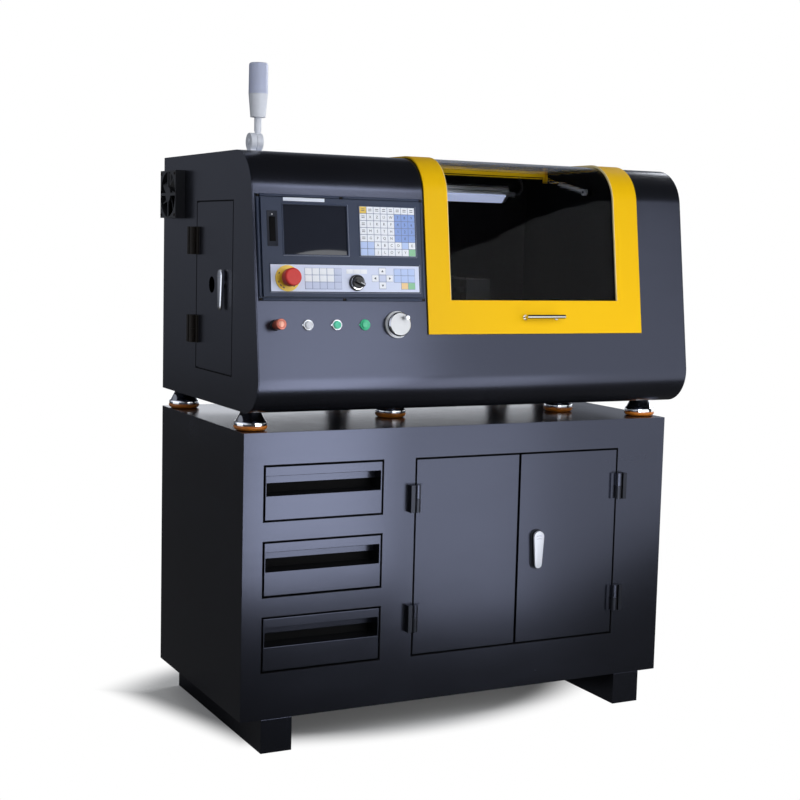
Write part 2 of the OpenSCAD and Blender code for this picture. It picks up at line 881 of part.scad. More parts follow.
module cabinet_lock_plate() {
    w = lever_w + 2 * lock_plate_rim;
    l = lever_l + 2 * lock_plate_rim;
    color(chrome) placed() translate([lock_pos[0], 0, lock_pos[1]]) rotate([90, 0, 0]) difference() {
        translate([0, lever_l / 2 - lever_tail, 0]) linear_extrude(lock_plate_t)
            round_rect(w, l, w / 2 - 2);
        translate([0, 0, -eps]) cylinder(r = lock_r + run_fit, h = lock_plate_t + 2 * eps);
    }
}

module cabinet_lock_lever() {
    color(chrome) placed() translate([lock_pos[0], -lock_plate_t, lock_pos[1]]) rotate([90, 0, 0])
        lock_lever(lock_plate_t + sheet + cam_clear + cam_t);
}

// Feet
module at_feet() {
    for (spot = foot_spots) translate([spot[0], spot[1], cab_top]) children();
}

module foot_pads() {
    color([0.85, 0.36, 0.05]) placed() at_feet() cylinder(r = foot_r, h = pad_h);
}

module foot_domes() {
    color(chrome) placed() at_feet() {
        translate([0, 0, pad_h]) cylinder(r = dome_r, h = dome_band);
        translate([0, 0, pad_h + dome_band])
            cylinder(r1 = dome_r, r2 = dome_top_r, h = foot_h - pad_h - dome_band);
    }
}

// Lathe casing
module front_wrap() {
    color(paint) placed() difference() {
        along_x([sheet, body_w - sheet]) difference() {
            case_profile(0);
            case_profile(sheet);
            translate([low_c[0], case_bottom - eps]) square([far, sheet + eps]);
            translate([body_d - sheet, case_bottom - eps]) square([far, far]);
        }
        along_x([open_x0, open_x1]) intersection() {
            above_t(door_t + door_lap);
            before_y(open_back);
        }
        on_bezel(box_inset_x - panel_clear, box_inset_x - panel_clear) translate([0, 0, -2 * sheet])
            cube([bezel_w - 2 * (box_inset_x - panel_clear), bezel_h - 2 * (box_inset_x - panel_clear),
                3 * sheet]);
        for (k = [0:3]) on_front(button_xs[k], button_row)
            translate([0, 0, -2 * sheet]) cylinder(r = bush_r() + run_fit, h = 3 * sheet);
        on_front(wheel_x, button_row) translate([0, 0, -2 * sheet])
            cylinder(r = wheel_bush_r + run_fit, h = 3 * sheet);
    }
}

module left_side_plate() {
    color(paint) placed() {
        difference() {
            along_x([0, sheet]) case_profile(0);
            block([-eps, sheet + eps], [side_front, side_front + side_w], [side_z, side_z + side_h]);
            x_bar([-eps, sheet + eps], fan_c[0], fan_c[1], fan_bore);
        }
        difference() {
            block([sheet, sheet + stop_t], [side_front - stop_lap, side_front + side_w + stop_lap],
                [side_z - stop_lap, side_z + side_h + stop_lap]);
            block([0, sheet + stop_t + eps], [side_front + stop_lap, side_front + side_w - stop_lap],
                [side_z + stop_lap, side_z + side_h - stop_lap]);
        }
    }
}

module right_side_plate() {
    color(paint) placed() along_x([body_w - sheet, body_w]) case_profile(0);
}

module back_panel() {
    color(paint) placed()
        block([sheet, body_w - sheet], [body_d - sheet, body_d], [case_bottom, case_top]);
}

module base_pan() {
    color(paint) placed()
        block([sheet, body_w - sheet], [low_c[0], body_d - sheet], [case_bottom, pan_top]);
}

// Walls around the work area: left, right and back, standing on the base pan
module work_area_liner() {
    color(paint) placed() difference() {
        union() {
            for (x = [liner_x0, liner_x1]) along_x([x, x + sheet]) intersection() {
                case_profile(sheet + panel_gap);
                before_y(liner_back + sheet);
                translate([-far, pan_top]) square([2 * far, far]);
            }
            block([liner_x0, liner_x1 + sheet], [liner_back, liner_back + sheet],
                [pan_top, case_top - sheet - panel_gap]);
            block([liner_x0, liner_x1 + sheet], [low_c[0], liner_back + sheet],
                [pan_top, pan_top + 0.5 * sheet]);
            strut_stud();
        }
        x_bar([liner_x0 - eps, liner_x0 + sheet + eps], axis_y, spindle_z, nose_r + nose_clear);
        block([liner_x0 - eps, bed_x1 + bed_clear], around(bed_mid, bed_w / 2 + bed_clear),
            [pan_top - eps, bed_top + bed_clear]);
    }
}

// Stud on the right wall that carries the gas strut
module strut_stud() {
    x_bar([strut_x - eye_w / 2 - slide_gap, liner_x1 + eps], strut_pivot[0], strut_pivot[1], stud_pin_r);
    x_bar([strut_x + tube_r + slide_gap, liner_x1 + eps], strut_pivot[0], strut_pivot[1], eye_r);
}

// Side door: the hinge line is at its back edge
module on_side_hinge() {
    translate([0, side_front + side_w, 0]) rotate([0, 0, -90]) children();
}

module side_door() {
    y = [side_front + side_gap, side_front + side_w - side_gap];
    color(paint) placed() difference() {
        union() {
            block([0, side_t], y, [side_z + side_gap, side_z + side_h - side_gap]);
            for (z = side_hinge_zs) on_side_hinge() swing_leaf(z);
        }
        x_bar([-eps, sheet + eps], axis_y, spindle_z, bar_r);
        x_bar([-eps, sheet + eps], side_lock_pos[0], side_lock_pos[1], lock_r + run_fit);
    }
}

module side_hinge_leaves() {
    color(rubber) placed() for (z = side_hinge_zs) on_side_hinge() fixed_leaf(z);
}

module side_lock_lever() {
    color(chrome) placed() translate([0, side_lock_pos[0], side_lock_pos[1]]) rotate([90, 0, -90])
        lock_lever(sheet + stop_t + cam_clear + cam_t);
}

// Fan: square frame with four spokes on its outer face that carry the hub pin
module fan_frame() {
    color(rubber) placed() translate([0, fan_c[0], fan_c[1]]) rotate([0, -90, 0]) {
        difference() {
            translate([-fan_w / 2, -fan_w / 2, 0]) cube([fan_w, fan_w, fan_d]);
            translate([0, 0, -eps]) cylinder(r = fan_bore, h = fan_d + 2 * eps);
        }
        translate([0, 0, fan_d - fan_spoke_t]) {
            cylinder(r = fan_hub_r, h = fan_spoke_t);
            for (a = [0:90:270]) rotate(a) translate([0, -fan_spoke_w / 2, 0])
                cube([fan_bore + eps, fan_spoke_w, fan_spoke_t]);
        }
        cylinder(r = fan_pin_r, h = fan_d - fan_spoke_t);
    }
}

module fan_impeller() {
    hub_h = fan_d - fan_spoke_t - slide_gap - 2;
    blade_w = hub_h * 0.9;
    color(rubber) placed() translate([0, fan_c[0], fan_c[1]]) rotate([0, -90, 0]) translate([0, 0, 2])
        difference() {
            union() {
                cylinder(r = fan_hub_r, h = hub_h);
                intersection() {
                    cylinder(r = fan_bore - fan_tip_gap, h = hub_h);
                    for (k = [0:fan_blades - 1]) rotate(k * 360 / fan_blades)
                        translate([fan_hub_r / 2, 0, hub_h / 2]) rotate([blade_tilt, 0, 0])
                            translate([0, -blade_w, -blade_t / 2]) cube([fan_bore, 2 * blade_w, blade_t]);
                }
            }
            translate([0, 0, -eps]) cylinder(r = fan_pin_r + run_fit, h = fan_d);
        }
}

// Front door: sheet that follows the casing's outline, hinged behind
module door_frame() {
    outer = door_gap + door_sheet;
    color(yellow) placed() {
        difference() {
            union() {
                along_x([door_x, door_x + door_w]) wrap_strip(door_gap, outer, door_t, door_back);
                for (x = piano_xs) {
                    x_bar([x - knuckle_w / 2, x + knuckle_w / 2], hinge_pin[0], hinge_pin[1], knuckle_r);
                    block([x - knuckle_w / 2, x + knuckle_w / 2], [door_back - knuckle_r, hinge_pin[0]],
                        [case_top + door_gap, case_top + outer]);
                }
            }
            along_x([win_x0, win_x1]) intersection() {
                above_t(win_t);
                before_y(win_back);
            }
            for (x = piano_xs)
                x_bar([x - piano_w, x + piano_w], hinge_pin[0], hinge_pin[1], pin_r + run_fit);
        }
        block([open_x0 + bracket_t, bracket_x1 - bracket_t], [win_back, win_back + door_sheet],
            [case_top + outer - door_sheet - rail_drop, case_top + outer - door_sheet / 2]);
        block([bracket_x1 - bracket_t, bracket_x1], around(door_pivot[0], bracket_w / 2),
            [door_pivot[1] - bracket_w / 3, case_top + outer - door_sheet / 2]);
    }
}

module door_window() {
    color([0.55, 0.60, 0.66, 0.35]) placed()
        along_x([win_x0 - window_lap, win_x1 + window_lap])
            wrap_strip(door_gap - window_t, door_gap, win_t - window_lap, win_back);
}

module door_handle() {
    outer = door_gap + door_sheet;
    color(chrome) placed() on_front(door_x + handle_x, door_t + handle_t) {
        translate([-handle_l / 2, 0, outer + handle_out]) rotate([0, 90, 0])
            cylinder(r = handle_r, h = handle_l);
        for (s = [-1, 1]) translate([s * (handle_l / 2 - 2 * handle_r), 0, outer]) {
            cylinder(r = handle_r * 0.8, h = handle_out);
            cylinder(r = handle_r * 1.3, h = 2);
        }
    }
}

module door_hinge_fixed() {
    side_w_each = (piano_w - knuckle_w) / 2 - knuckle_gap;
    color(rubber) placed() for (x = piano_xs) {
        for (s = [0, 1]) {
            x0 = x - piano_w / 2 + s * (piano_w - side_w_each);
            x_bar([x0, x0 + side_w_each], hinge_pin[0], hinge_pin[1], knuckle_r);
            block([x0, x0 + side_w_each], [hinge_pin[0], hinge_pin[0] + knuckle_r + eps],
                [case_top, hinge_pin[1]]);
        }
        x_bar([x - piano_w / 2, x + piano_w / 2], hinge_pin[0], hinge_pin[1], pin_r);
        block([x - piano_w / 2, x + piano_w / 2],
            [hinge_pin[0] + knuckle_r + slide_gap, hinge_pin[0] + leaf_back], [case_top, case_top + sheet]);
    }
}

// Gas strut, drawn along its own line from the fixed pivot
module along_strut() {
    translate([strut_x, strut_pivot[0], strut_pivot[1]]) rotate([strut_a - 90, 0, 0]) children();
}

module strut_cylinder() {
    color(rubber) placed() along_strut() difference() {
        union() {
            rotate([0, 90, 0]) translate([0, 0, -eye_w / 2]) cylinder(r = eye_r, h = eye_w);
            translate([0, 0, eye_r / 2]) cylinder(r = tube_r, h = tube_l + eye_r / 2);
        }
        rotate([0, 90, 0]) translate([0, 0, -eye_w]) cylinder(r = stud_pin_r + run_fit, h = 2 * eye_w);
        translate([0, 0, tube_l + eye_r - rod_inside - 5]) cylinder(r = rod_r + run_fit, h = far);
    }
}

module strut_rod() {
    color(chrome) placed() along_strut() {
        translate([0, 0, tube_l + eye_r - rod_inside])
            cylinder(r = rod_r, h = strut_l - tube_l - eye_r + rod_inside);
        translate([0, 0, strut_l]) rotate([0, 90, 0]) translate([0, 0, -eye_w / 2])
            cylinder(r = 2 * rod_r, h = eye_w);
        translate([bracket_x1 - strut_x + slide_gap, 0, strut_l]) rotate([0, 90, 0])
            cylinder(r = rod_r, h = eye_w / 2);
    }
}

// Control panel
module film_plate(x, t, w, h, low, high) {
    on_bezel(x, t) translate([0, 0, low]) cube([w, h, high - low]);
}

module control_bezel() {
    low = film_z;
    high = face_z + eps;
    color(slate) placed() difference() {
        union() {
            on_bezel(0, 0) cube([bezel_w, bezel_h, rim_t]);
            on_bezel(rim_w, rim_w) cube([bezel_w - 2 * rim_w, bezel_h - 2 * rim_w, face_z]);
            on_bezel(box_inset_x, box_inset_x) translate([0, 0, -box_d])
                cube([bezel_w - 2 * box_inset_x, bezel_h - 2 * box_inset_x, box_d + eps]);
        }
        film_plate(keys_x, screen_t, keys_w, keys_h, low, high);
        film_plate(strip_x, strip_t, strip_w, strip_h, low, high);
        film_plate(screen_x, screen_t, screen_w, screen_h, face_z - screen_sink - screen_thk, high);
        on_bezel(estop_x, estop_t) translate([0, 0, -box_d / 2])
            cylinder(r = estop_stem_r + slide_gap, h = box_d);
        on_bezel(knob_x, knob_t) translate([0, 0, -box_d / 2])
            cylinder(r = knob_shaft_r + run_fit, h = box_d);
    }
}

module screen() {
    color([0.03, 0.03, 0.04]) placed() film_plate(screen_x, screen_t, screen_w, screen_h,
        face_z - screen_sink - screen_thk, face_z - screen_sink);
}

module key_films() {
    color([0.66, 0.69, 0.80]) placed() {
        film_plate(keys_x, screen_t, keys_w, keys_h, film_z, film_top);
        difference() {
            film_plate(strip_x, strip_t, strip_w, strip_h, film_z, film_top);
            on_bezel(estop_x, estop_t) cylinder(r = estop_stem_r + slide_gap, h = 2 * face_z);
            on_bezel(knob_x, knob_t) cylinder(r = knob_shaft_r + slide_gap, h = 2 * face_z);
        }
    }
}

module estop_plate() {
    color([0.92, 0.76, 0.10]) placed() on_bezel(estop_x, estop_t) translate([0, 0, film_top]) difference() {
        cylinder(r = estop_plate_r, h = estop_plate_t);
        translate([0, 0, -eps]) cylinder(r = estop_stem_r + run_fit, h = estop_plate_t + 2 * eps);
    }
}

module estop_button() {
    edge = 5;
    head = estop_h - estop_travel - estop_gap;
    color([0.80, 0.10, 0.08]) placed() on_bezel(estop_x, estop_t)
        translate([0, 0, film_top + estop_plate_t]) {
            translate([0, 0, -estop_stem_l])
                cylinder(r = estop_stem_r, h = estop_h - head + estop_stem_l + eps);
            translate([0, 0, estop_h - head]) rotate_extrude() {
                square([estop_r, head - edge]);
                square([estop_r - edge, head]);
                translate([estop_r - edge, head - edge]) intersection() {
                    circle(edge);
                    square(edge);
                }
            }
        }
}

module override_knob() {
    color(rubber) placed() on_bezel(knob_x, knob_t) translate([0, 0, film_top + slide_gap]) {
        cylinder(r = knob_r, h = knob_base_h);
        cylinder(r = knob_step_r, h = knob_base_h + knob_step_h);
        translate([-knob_bar_w / 2, -knob_step_r, 0]) cube([knob_bar_w, knob_bar_l, knob_h]);
        translate([0, 0, -knob_shaft_l]) cylinder(r = knob_shaft_r, h = knob_shaft_l + eps);
    }
}

function bush_r() = cap_r + run_fit + ring_wall;

module button_rings() {
    color(chrome) placed() for (k = [0:3]) on_front(button_xs[k], button_row) difference() {
        union() {
            cylinder(r = ring_r, h = ring_h);
            translate([0, 0, -bush_d]) cylinder(r = bush_r(), h = bush_d + eps);
        }
        translate([0, 0, -bush_d - eps]) cylinder(r = cap_r + run_fit, h = bush_d + ring_h + 2 * eps);
    }
}

module button_cap(k) {
    top = ring_h + cap_out[k];
    on_front(button_xs[k], button_row) {
        translate([0, 0, cap_foot - bush_d])
            cylinder(r = cap_r, h = bush_d - cap_foot + top - cap_bevel);
        translate([0, 0, top - cap_bevel]) cylinder(r1 = cap_r, r2 = cap_r - cap_bevel, h = cap_bevel);
        if (k == 0) {
            head_l = cap_out[k] - head_gap;
            translate([0, 0, top - head_l]) cylinder(r = head_r, h = head_l - cap_bevel);
            translate([0, 0, top - cap_bevel]) cylinder(r1 = head_r, r2 = head_r - cap_bevel, h = cap_bevel);
        }
    }
}

module button_red() {
    color([0.75, 0.22, 0.16]) placed() button_cap(0);
}

module button_white() {
    color([0.85, 0.86, 0.88]) placed() button_cap(1);
}

module button_green_ringed() {
    color([0.10, 0.62, 0.30]) placed() button_cap(2);
}

module button_green() {
    color([0.10, 0.62, 0.30]) placed() button_cap(3);
}

module handwheel_base() {
    color(chrome) placed() on_front(wheel_x, button_row) difference() {
        union() {
            cylinder(r = wheel_base_r, h = wheel_base_h);
            translate([0, 0, -bush_d]) cylinder(r = wheel_bush_r, h = bush_d + eps);
        }
        translate([0, 0, -bush_d - eps]) cylinder(r = wheel_shaft_r + run_fit, h = 2 * bush_d);
    }
}

module handwheel() {
    color(chrome) placed() on_front(wheel_x, button_row) {
        translate([0, 0, wheel_z]) cylinder(r = wheel_r, h = wheel_h - wheel_bevel);
        translate([0, 0, wheel_top - wheel_bevel])
            cylinder(r1 = wheel_r, r2 = wheel_r - wheel_bevel, h = wheel_bevel);
        translate([0, 0, wheel_shaft_end - bush_d]) cylinder(r = wheel_shaft_r, h = bush_d + wheel_z);
        rotate(grip_turn) translate([grip_at, 0, wheel_top - eps])
            cylinder(r = grip_pin_r, h = grip_l - 2 * grip_wall);
    }
}

module handwheel_grip() {
    color(chrome) placed() on_front(wheel_x, button_row) rotate(grip_turn)
        translate([grip_at, 0, wheel_top + slide_gap]) difference() {
            union() {
                cylinder(r = grip_neck_r, h = grip_l);
                translate([0, 0, grip_l * 0.3]) cylinder(r = grip_r, h = grip_l * 0.6);
            }
            translate([0, 0, -eps]) cylinder(r = grip_pin_r + run_fit, h = grip_l - grip_wall + eps);
        }
}

// Beacon: a foot and an arm that fold on a pin along X
module beacon_foot() {
    half = beacon_knuckle_w / 2;
    color(slate) placed() translate([beacon_x, beacon_y, 0]) {
        z_bar(0, 0, [case_top, case_top + beacon_flange_h], beacon_flange_r);
        x_bar([-half, -slide_gap / 2], 0, beacon_pin_z, beacon_knuckle_r);
        block([-half, -slide_gap / 2], [-1, 1] * beacon_knuckle_r * 0.6, [case_top + eps, beacon_pin_z]);
        x_bar([-half, half - 2], 0, beacon_pin_z, beacon_pin_r);
        x_bar([-half - 3, -half + eps], 0, beacon_pin_z, beacon_pin_r * 1.6);
    }
}

module beacon_arm() {
    half = beacon_knuckle_w / 2;
    color(slate) placed() translate([beacon_x, beacon_y, 0]) difference() {
        union() {
            x_bar([slide_gap / 2, half], 0, beacon_pin_z, beacon_knuckle_r);
            z_bar(neck_x, 0, [beacon_pin_z, housing_z + eps], neck_r * 0.85);
            z_bar(neck_x, 0, [beacon_pin_z + beacon_knuckle_r + 4, housing_z + eps], neck_r);
            translate([neck_x, 0, housing_z]) cylinder(r1 = housing_r, r2 = lens_r, h = housing_h);
        }
        x_bar([-half, half - 1], 0, beacon_pin_z, beacon_pin_r + run_fit);
        block([-half, slide_gap / 2], [-1, 1] * lens_r, [beacon_pin_z - beacon_knuckle_r,
            beacon_pin_z + beacon_knuckle_r + 2]);
    }
}

module beacon_lens() {
    edge = 4;
    color([0.70, 0.72, 0.76]) placed() translate([beacon_x + neck_x, beacon_y, lens_z]) rotate_extrude() {
        square([lens_r, lens_h - edge]);
        square([lens_r - edge, lens_h]);
        translate([lens_r - edge, lens_h - edge]) intersection() {
            circle(edge);
            square(edge);
        }
    }
}

// Work lamp on the liner's back wall; its outline runs from the wall forwards
lamp_face = [[-lamp_d, -26], [-18, -lamp_h]];

module lamp_body() {
    x = [lamp_x[0], lamp_x[1]];
    color(chrome) placed() {
        along_x(x) translate([liner_back, lamp_top]) polygon([
            [0, 0], [-30, 0], [-34, -5], [-34, -9], [-38, -10], [-38, -16], [-lamp_d, -19],
            lamp_face[0], lamp_face[1], [0, -lamp_h]
        ]);
        x_bar([lamp_x[1], lamp_x[1] + gland_l], gland_at[0], gland_at[1], gland_r);
    }
}

module lamp_diffuser() {
    run = lamp_face[1] - lamp_face[0];
    slope = atan2(run[1], run[0]);
    x = [lamp_x[0] + diffuser_end, lamp_x[1] - diffuser_end];
    color([0.86, 0.89, 1.0]) placed() along_x(x)
        translate([liner_back + lamp_face[0][0], lamp_top + lamp_face[0][1]]) rotate(slope)
            translate([2, -diffuser_t]) square([norm(run) - 4, diffuser_t]);
}

// Point on a smooth curve through four neighbouring route points
function between(a, b, c, d, u) =
    0.5 * (2 * b + (c - a) * u + (2 * a - 5 * b + 4 * c - d) * u * u
    + (3 * b - a - 3 * c + d) * u * u * u);
cable_last = len(cable_route) - 3;
cable_line = [
    for (i = [1:cable_last], k = [0:cable_steps - 1])
        between(cable_route[i - 1], cable_route[i], cable_route[i + 1], cable_route[i + 2], k / cable_steps),
    cable_route[cable_last + 1]
];
cable_count = len(cable_line);

// Direction of the cable at a point of its line, square to the end faces at both ends
function cable_dir(i) =
    i == 0 ? [1, 0] : i == cable_count - 1 ? [0, 1]
    : (cable_line[i + 1] - cable_line[i - 1]) / norm(cable_line[i + 1] - cable_line[i - 1]);

module lamp_cable() {
    points = [
        for (i = [0:cable_count - 1], k = [0:cable_sides - 1])
            let (a = k * 360 / cable_sides, d = cable_dir(i), c = cable_line[i])
                [c[0] - d[1] * cable_r * cos(a), cable_r * sin(a), c[1] + d[0] * cable_r * cos(a)]
    ];
    last = (cable_count - 1) * cable_sides;
    faces = concat(
        [[for (k = [0:cable_sides - 1]) cable_sides - 1 - k]],
        [[for (k = [0:cable_sides - 1]) last + k]],
        [
            for (i = [0:cable_count - 2], k = [0:cable_sides - 1])
                let (a = i * cable_sides, n = (k + 1) % cable_sides)
                    [a + k, a + n, a + cable_sides + n, a + cable_sides + k]
        ]
    );
    color(rubber) placed() translate([lamp_x[1] + gland_l, gland_at[0], gland_at[1]])
        mirror([0, 1, 0]) polyhedron(points, faces);
}

// Bed with two guide rails and the bearing blocks of the ball screw
screw_blocks = [rail_x0 - 15, bed_x1 - screw_block_l - 2];

module bed() {
    color(iron) placed() difference() {
        union() {
            block([bed_x0, bed_x1], around(bed_mid, bed_w / 2), [pan_top, bed_top]);
            for (s = [-1, 1]) block([rail_x0, bed_x1 - 5], around(bed_mid + s * rail_dy, rail_w / 2),
                [bed_top - eps, bed_top + rail_h]);
            for (x = screw_blocks) block([x, x + screw_block_l], around(bed_mid, screw_block_w / 2),
                [bed_top - eps, screw_z + 2 * screw_r]);
        }
        x_bar([screw_blocks[0] + 5, screw_blocks[1] + screw_block_l - 5], bed_mid, screw_z,
            screw_r + run_fit);
        block([rail_x0 + 10, bed_x1 - screw_block_l - 5], around(bed_mid, screw_r * 1.5),
            [bed_top - screw_r, bed_top + eps]);
    }
}

module headstock() {
    color(iron) placed() difference() {
        block([head_x0, head_x1], around(axis_y, head_w / 2), [bed_top, head_top]);
        x_bar([head_x0 - eps, head_x1 + eps], axis_y, spindle_z, spindle_r + run_fit);
    }
}

module spindle() {
    color(chrome) placed() difference() {
        union() {
            x_bar([spindle_x0, nose_x1], axis_y, spindle_z, spindle_r);
            x_bar([head_x1 + slide_gap, nose_x1], axis_y, spindle_z, nose_r);
            x_bar([pulley_x, pulley_x + belt_w + 2], axis_y, spindle_z, pulley_r);
        }
        x_bar([spindle_x0 - eps, nose_x1 + eps], axis_y, spindle_z, spindle_bore);
    }
}

module collet_nut() {
    color(iron) placed() difference() {
        union() {
            x_bar([nose_x1, nose_x1 + nut_l], axis_y, spindle_z, nut_r);
            translate([nose_x1 + nut_l - eps, axis_y, spindle_z]) rotate([0, 90, 0])
                cylinder(r1 = nut_r - nut_step, r2 = nut_r - nut_step - nut_taper, h = nut_nose);
        }
        x_bar([nose_x1 - eps, nose_x1 + nut_l + nut_nose + eps], axis_y, spindle_z, spindle_bore * 0.6);
    }
}

// Carriage: rides on the rails, with the screw through its nut and a guide for the cross slide
module carriage() {
    x = [carriage_x, carriage_x + carriage_l];
    guide_x = carriage_x + carriage_l / 2;
    color(iron) placed() difference() {
        union() {
            block(x, around(bed_mid, carriage_w / 2), [carriage_z, carriage_top]);
            block(around(guide_x, guide_w / 2), around(bed_mid, carriage_w / 2),
                [carriage_top - eps, carriage_top + guide_h]);
        }
        for (s = [-1, 1]) block([x[0] - eps, x[1] + eps],
            around(bed_mid + s * rail_dy, rail_w / 2 + slide_gap),
            [carriage_z - eps, bed_top + rail_h + slide_gap]);
        x_bar([x[0] - eps, x[1] + eps], bed_mid, screw_z, screw_r + run_fit);
    }
}

module cross_slide() {
    guide_x = carriage_x + carriage_l / 2;
    y = [table_y - eps, table_y + table_l + eps];
    color(iron) placed() difference() {
        block([table_x, table_x + table_w], [table_y, table_y + table_l], [table_z, table_top]);
        block(around(guide_x, guide_w / 2 + slide_gap), y,
            [table_z - eps, carriage_top + guide_h + slide_gap]);
        for (k = [0:slot_count - 1]) {
            x = table_x + table_w * (k + 0.5) / slot_count;
            block(around(x, slot_w / 2), y, [table_top - slot_h - eps, table_top + eps]);
            block(around(x, slot_flange_w / 2), y, [table_top - slot_h - slot_flange_h, table_top - slot_h]);
        }
    }
}

// Three tool blocks on the table, each with a bit towards the spindle
module tool_blocks() {
    x = table_x + table_w / slot_count;
    color(iron) placed() for (k = [-1:1]) {
        y = bed_mid + k * tool_pitch;
        block([x - tool_l / 2, x + tool_l / 2], around(y, tool_w / 2), [table_top, tool_top]);
        block([x - tool_l / 2 - bit_out, x], around(y, bit_w / 2), [spindle_z - bit_w, spindle_z]);
    }
}

module z_ball_screw() {
    color(chrome) placed()
        x_bar([screw_blocks[0] + 6, screw_blocks[1] + screw_block_l - 6], bed_mid, screw_z, screw_r);
}

// Spindle motor on its own foot, with the belt drive towards the left side
module spindle_motor() {
    color(rubber) placed() {
        block([motor_x0, motor_x0 + motor_l], around(motor_y, motor_w / 2),
            around(motor_z, motor_w / 2));
        block([motor_x0, motor_x0 + motor_l], around(motor_y, motor_w / 3),
            [pan_top, motor_z]);
        x_bar([pulley_x, motor_x0 + eps], motor_y, motor_z, motor_shaft_r);
    }
}

module motor_pulley() {
    color(chrome) placed() difference() {
        x_bar([pulley_x, pulley_x + belt_w + 2], motor_y, motor_z, pulley_r);
        x_bar([pulley_x - eps, motor_x0], motor_y, motor_z, motor_shaft_r + run_fit);
    }
}

module belt_loop(r) {
    circle(r);
    translate([drive_l, 0]) circle(r);
    translate([0, -r]) square([drive_l, 2 * r]);
}

module drive_belt() {
    inner = pulley_r + belt_play;
    color(rubber) placed() along_x([pulley_x + 1, pulley_x + 1 + belt_w])
        translate([axis_y, spindle_z]) rotate(drive_a) difference() {
            belt_loop(inner + belt_t);
            belt_loop(inner);
        }
}

cabinet_body();
cabinet_skids();
drawer_top();
drawer_middle();
drawer_bottom();
cabinet_door_left();
cabinet_door_right();
cabinet_hinge_leaves();
cabinet_lock_plate();
cabinet_lock_lever();
foot_pads();
foot_domes();
front_wrap();
left_side_plate();
right_side_plate();
back_panel();
base_pan();
work_area_liner();
side_door();
side_hinge_leaves();
side_lock_lever();
fan_frame();
fan_impeller();
door_frame();
door_window();
door_handle();
door_hinge_fixed();
strut_cylinder();
strut_rod();
control_bezel();
screen();
key_films();
estop_plate();
estop_button();
override_knob();
button_rings();
button_red();
button_white();
button_green_ringed();
button_green();
handwheel_base();
handwheel();
handwheel_grip();
beacon_foot();
beacon_arm();
beacon_lens();
lamp_body();
lamp_diffuser();
lamp_cable();
bed();
headstock();
spindle();
collet_nut();
carriage();
cross_slide();
tool_blocks();
z_ball_screw();
spindle_motor();
motor_pulley();
drive_belt();
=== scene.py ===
"""Looks of a benchtop CNC lathe on its steel cabinet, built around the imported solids.

Modelling sizes are millimetres, the studio's are metres. Places on the leaning front count across from the
casing's left side, up the slope from its lower corner and outwards, as they are measured there.
"""

import logging
import math
from contextlib import contextmanager
from dataclasses import dataclass
from enum import Enum
from typing import Callable, Iterable, Iterator, Sequence

import bpy
from mathutils import Matrix, Vector


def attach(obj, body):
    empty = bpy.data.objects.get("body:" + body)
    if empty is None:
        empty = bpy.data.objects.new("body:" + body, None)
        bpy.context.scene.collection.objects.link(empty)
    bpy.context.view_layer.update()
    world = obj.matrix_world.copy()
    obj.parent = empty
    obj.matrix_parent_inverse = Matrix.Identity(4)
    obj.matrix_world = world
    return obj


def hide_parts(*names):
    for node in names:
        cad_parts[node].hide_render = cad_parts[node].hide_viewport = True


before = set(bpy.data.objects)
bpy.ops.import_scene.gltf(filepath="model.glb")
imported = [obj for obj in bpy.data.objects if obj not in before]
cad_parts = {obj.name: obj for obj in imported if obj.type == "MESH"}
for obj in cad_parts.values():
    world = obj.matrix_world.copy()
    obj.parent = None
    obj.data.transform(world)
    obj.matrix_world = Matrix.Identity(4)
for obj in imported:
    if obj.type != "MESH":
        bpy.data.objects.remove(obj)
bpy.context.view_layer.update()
LOG = logging.getLogger("lathe")

MM = 0.001
ORIGIN = Vector((587.5, 247.5958, 0.0)) * MM
LEAN = math.radians(7.8)
FRONT_LOW = (-85.0, 893.0)
BEZEL_LOW = 189.823
ROW_LOW = BEZEL_LOW - 55.0
DAYLIGHT = (0.96, 0.98, 1.0)
Colour = tuple[float, float, float]
Place = Sequence[float]
Pair = tuple[float, float]
Profile = Sequence[Pair]
Span = tuple[float, float, float, float]
Corners = tuple[Place, Place]
Piece = bpy.types.Object
Tree = bpy.types.NodeTree
Node = bpy.types.Node
Socket = bpy.types.NodeSocket


def mm(*values: float) -> Vector:
    """Gives a vector in metres for millimetres."""
    return Vector([v * MM for v in values])


def moved(x: float, y: float, z: float) -> Matrix:
    """Gives the matrix of a shift in millimetres."""
    return Matrix.Translation(mm(x, y, z))


def spot(x: float, y: float, z: float) -> Vector:
    """Gives the part frame's point for millimetres from the cabinet's front left corner on the floor."""
    return Vector((x, y, z)) * MM - ORIGIN


def front_matrix() -> Matrix:
    """Gives the matrix from the leaning front's own axes, in metres, to the part frame."""
    corner = spot(0.0, *FRONT_LOW)
    return Matrix((
        (1.0, 0.0, 0.0, corner.x),
        (0.0, math.sin(LEAN), -math.cos(LEAN), corner.y),
        (0.0, math.cos(LEAN), math.sin(LEAN), corner.z),
        (0.0, 0.0, 0.0, 1.0),
    ))


FRONT = front_matrix()
BEZEL = FRONT @ moved(0.0, BEZEL_LOW, 0.0)
ROW = FRONT @ moved(0.0, ROW_LOW, 0.0)
CORNER = Matrix.Translation(spot(0, 0, 0))
CABINET = CORNER @ Matrix(((1, 0, 0, 0), (0, 0, -1, 0), (0, 1, 0, 0), (0, 0, 0, 1)))
SIDE = CORNER @ Matrix(((0, 0, -1, 0), (-1, 0, 0, 0), (0, 1, 0, 0), (0, 0, 0, 1)))


def settle(node: Node, values: dict[str, float | Place]) -> Node:
    """Sets a node's inputs by their names."""
    for name, value in values.items():
        node.inputs[name].default_value = value
    return node


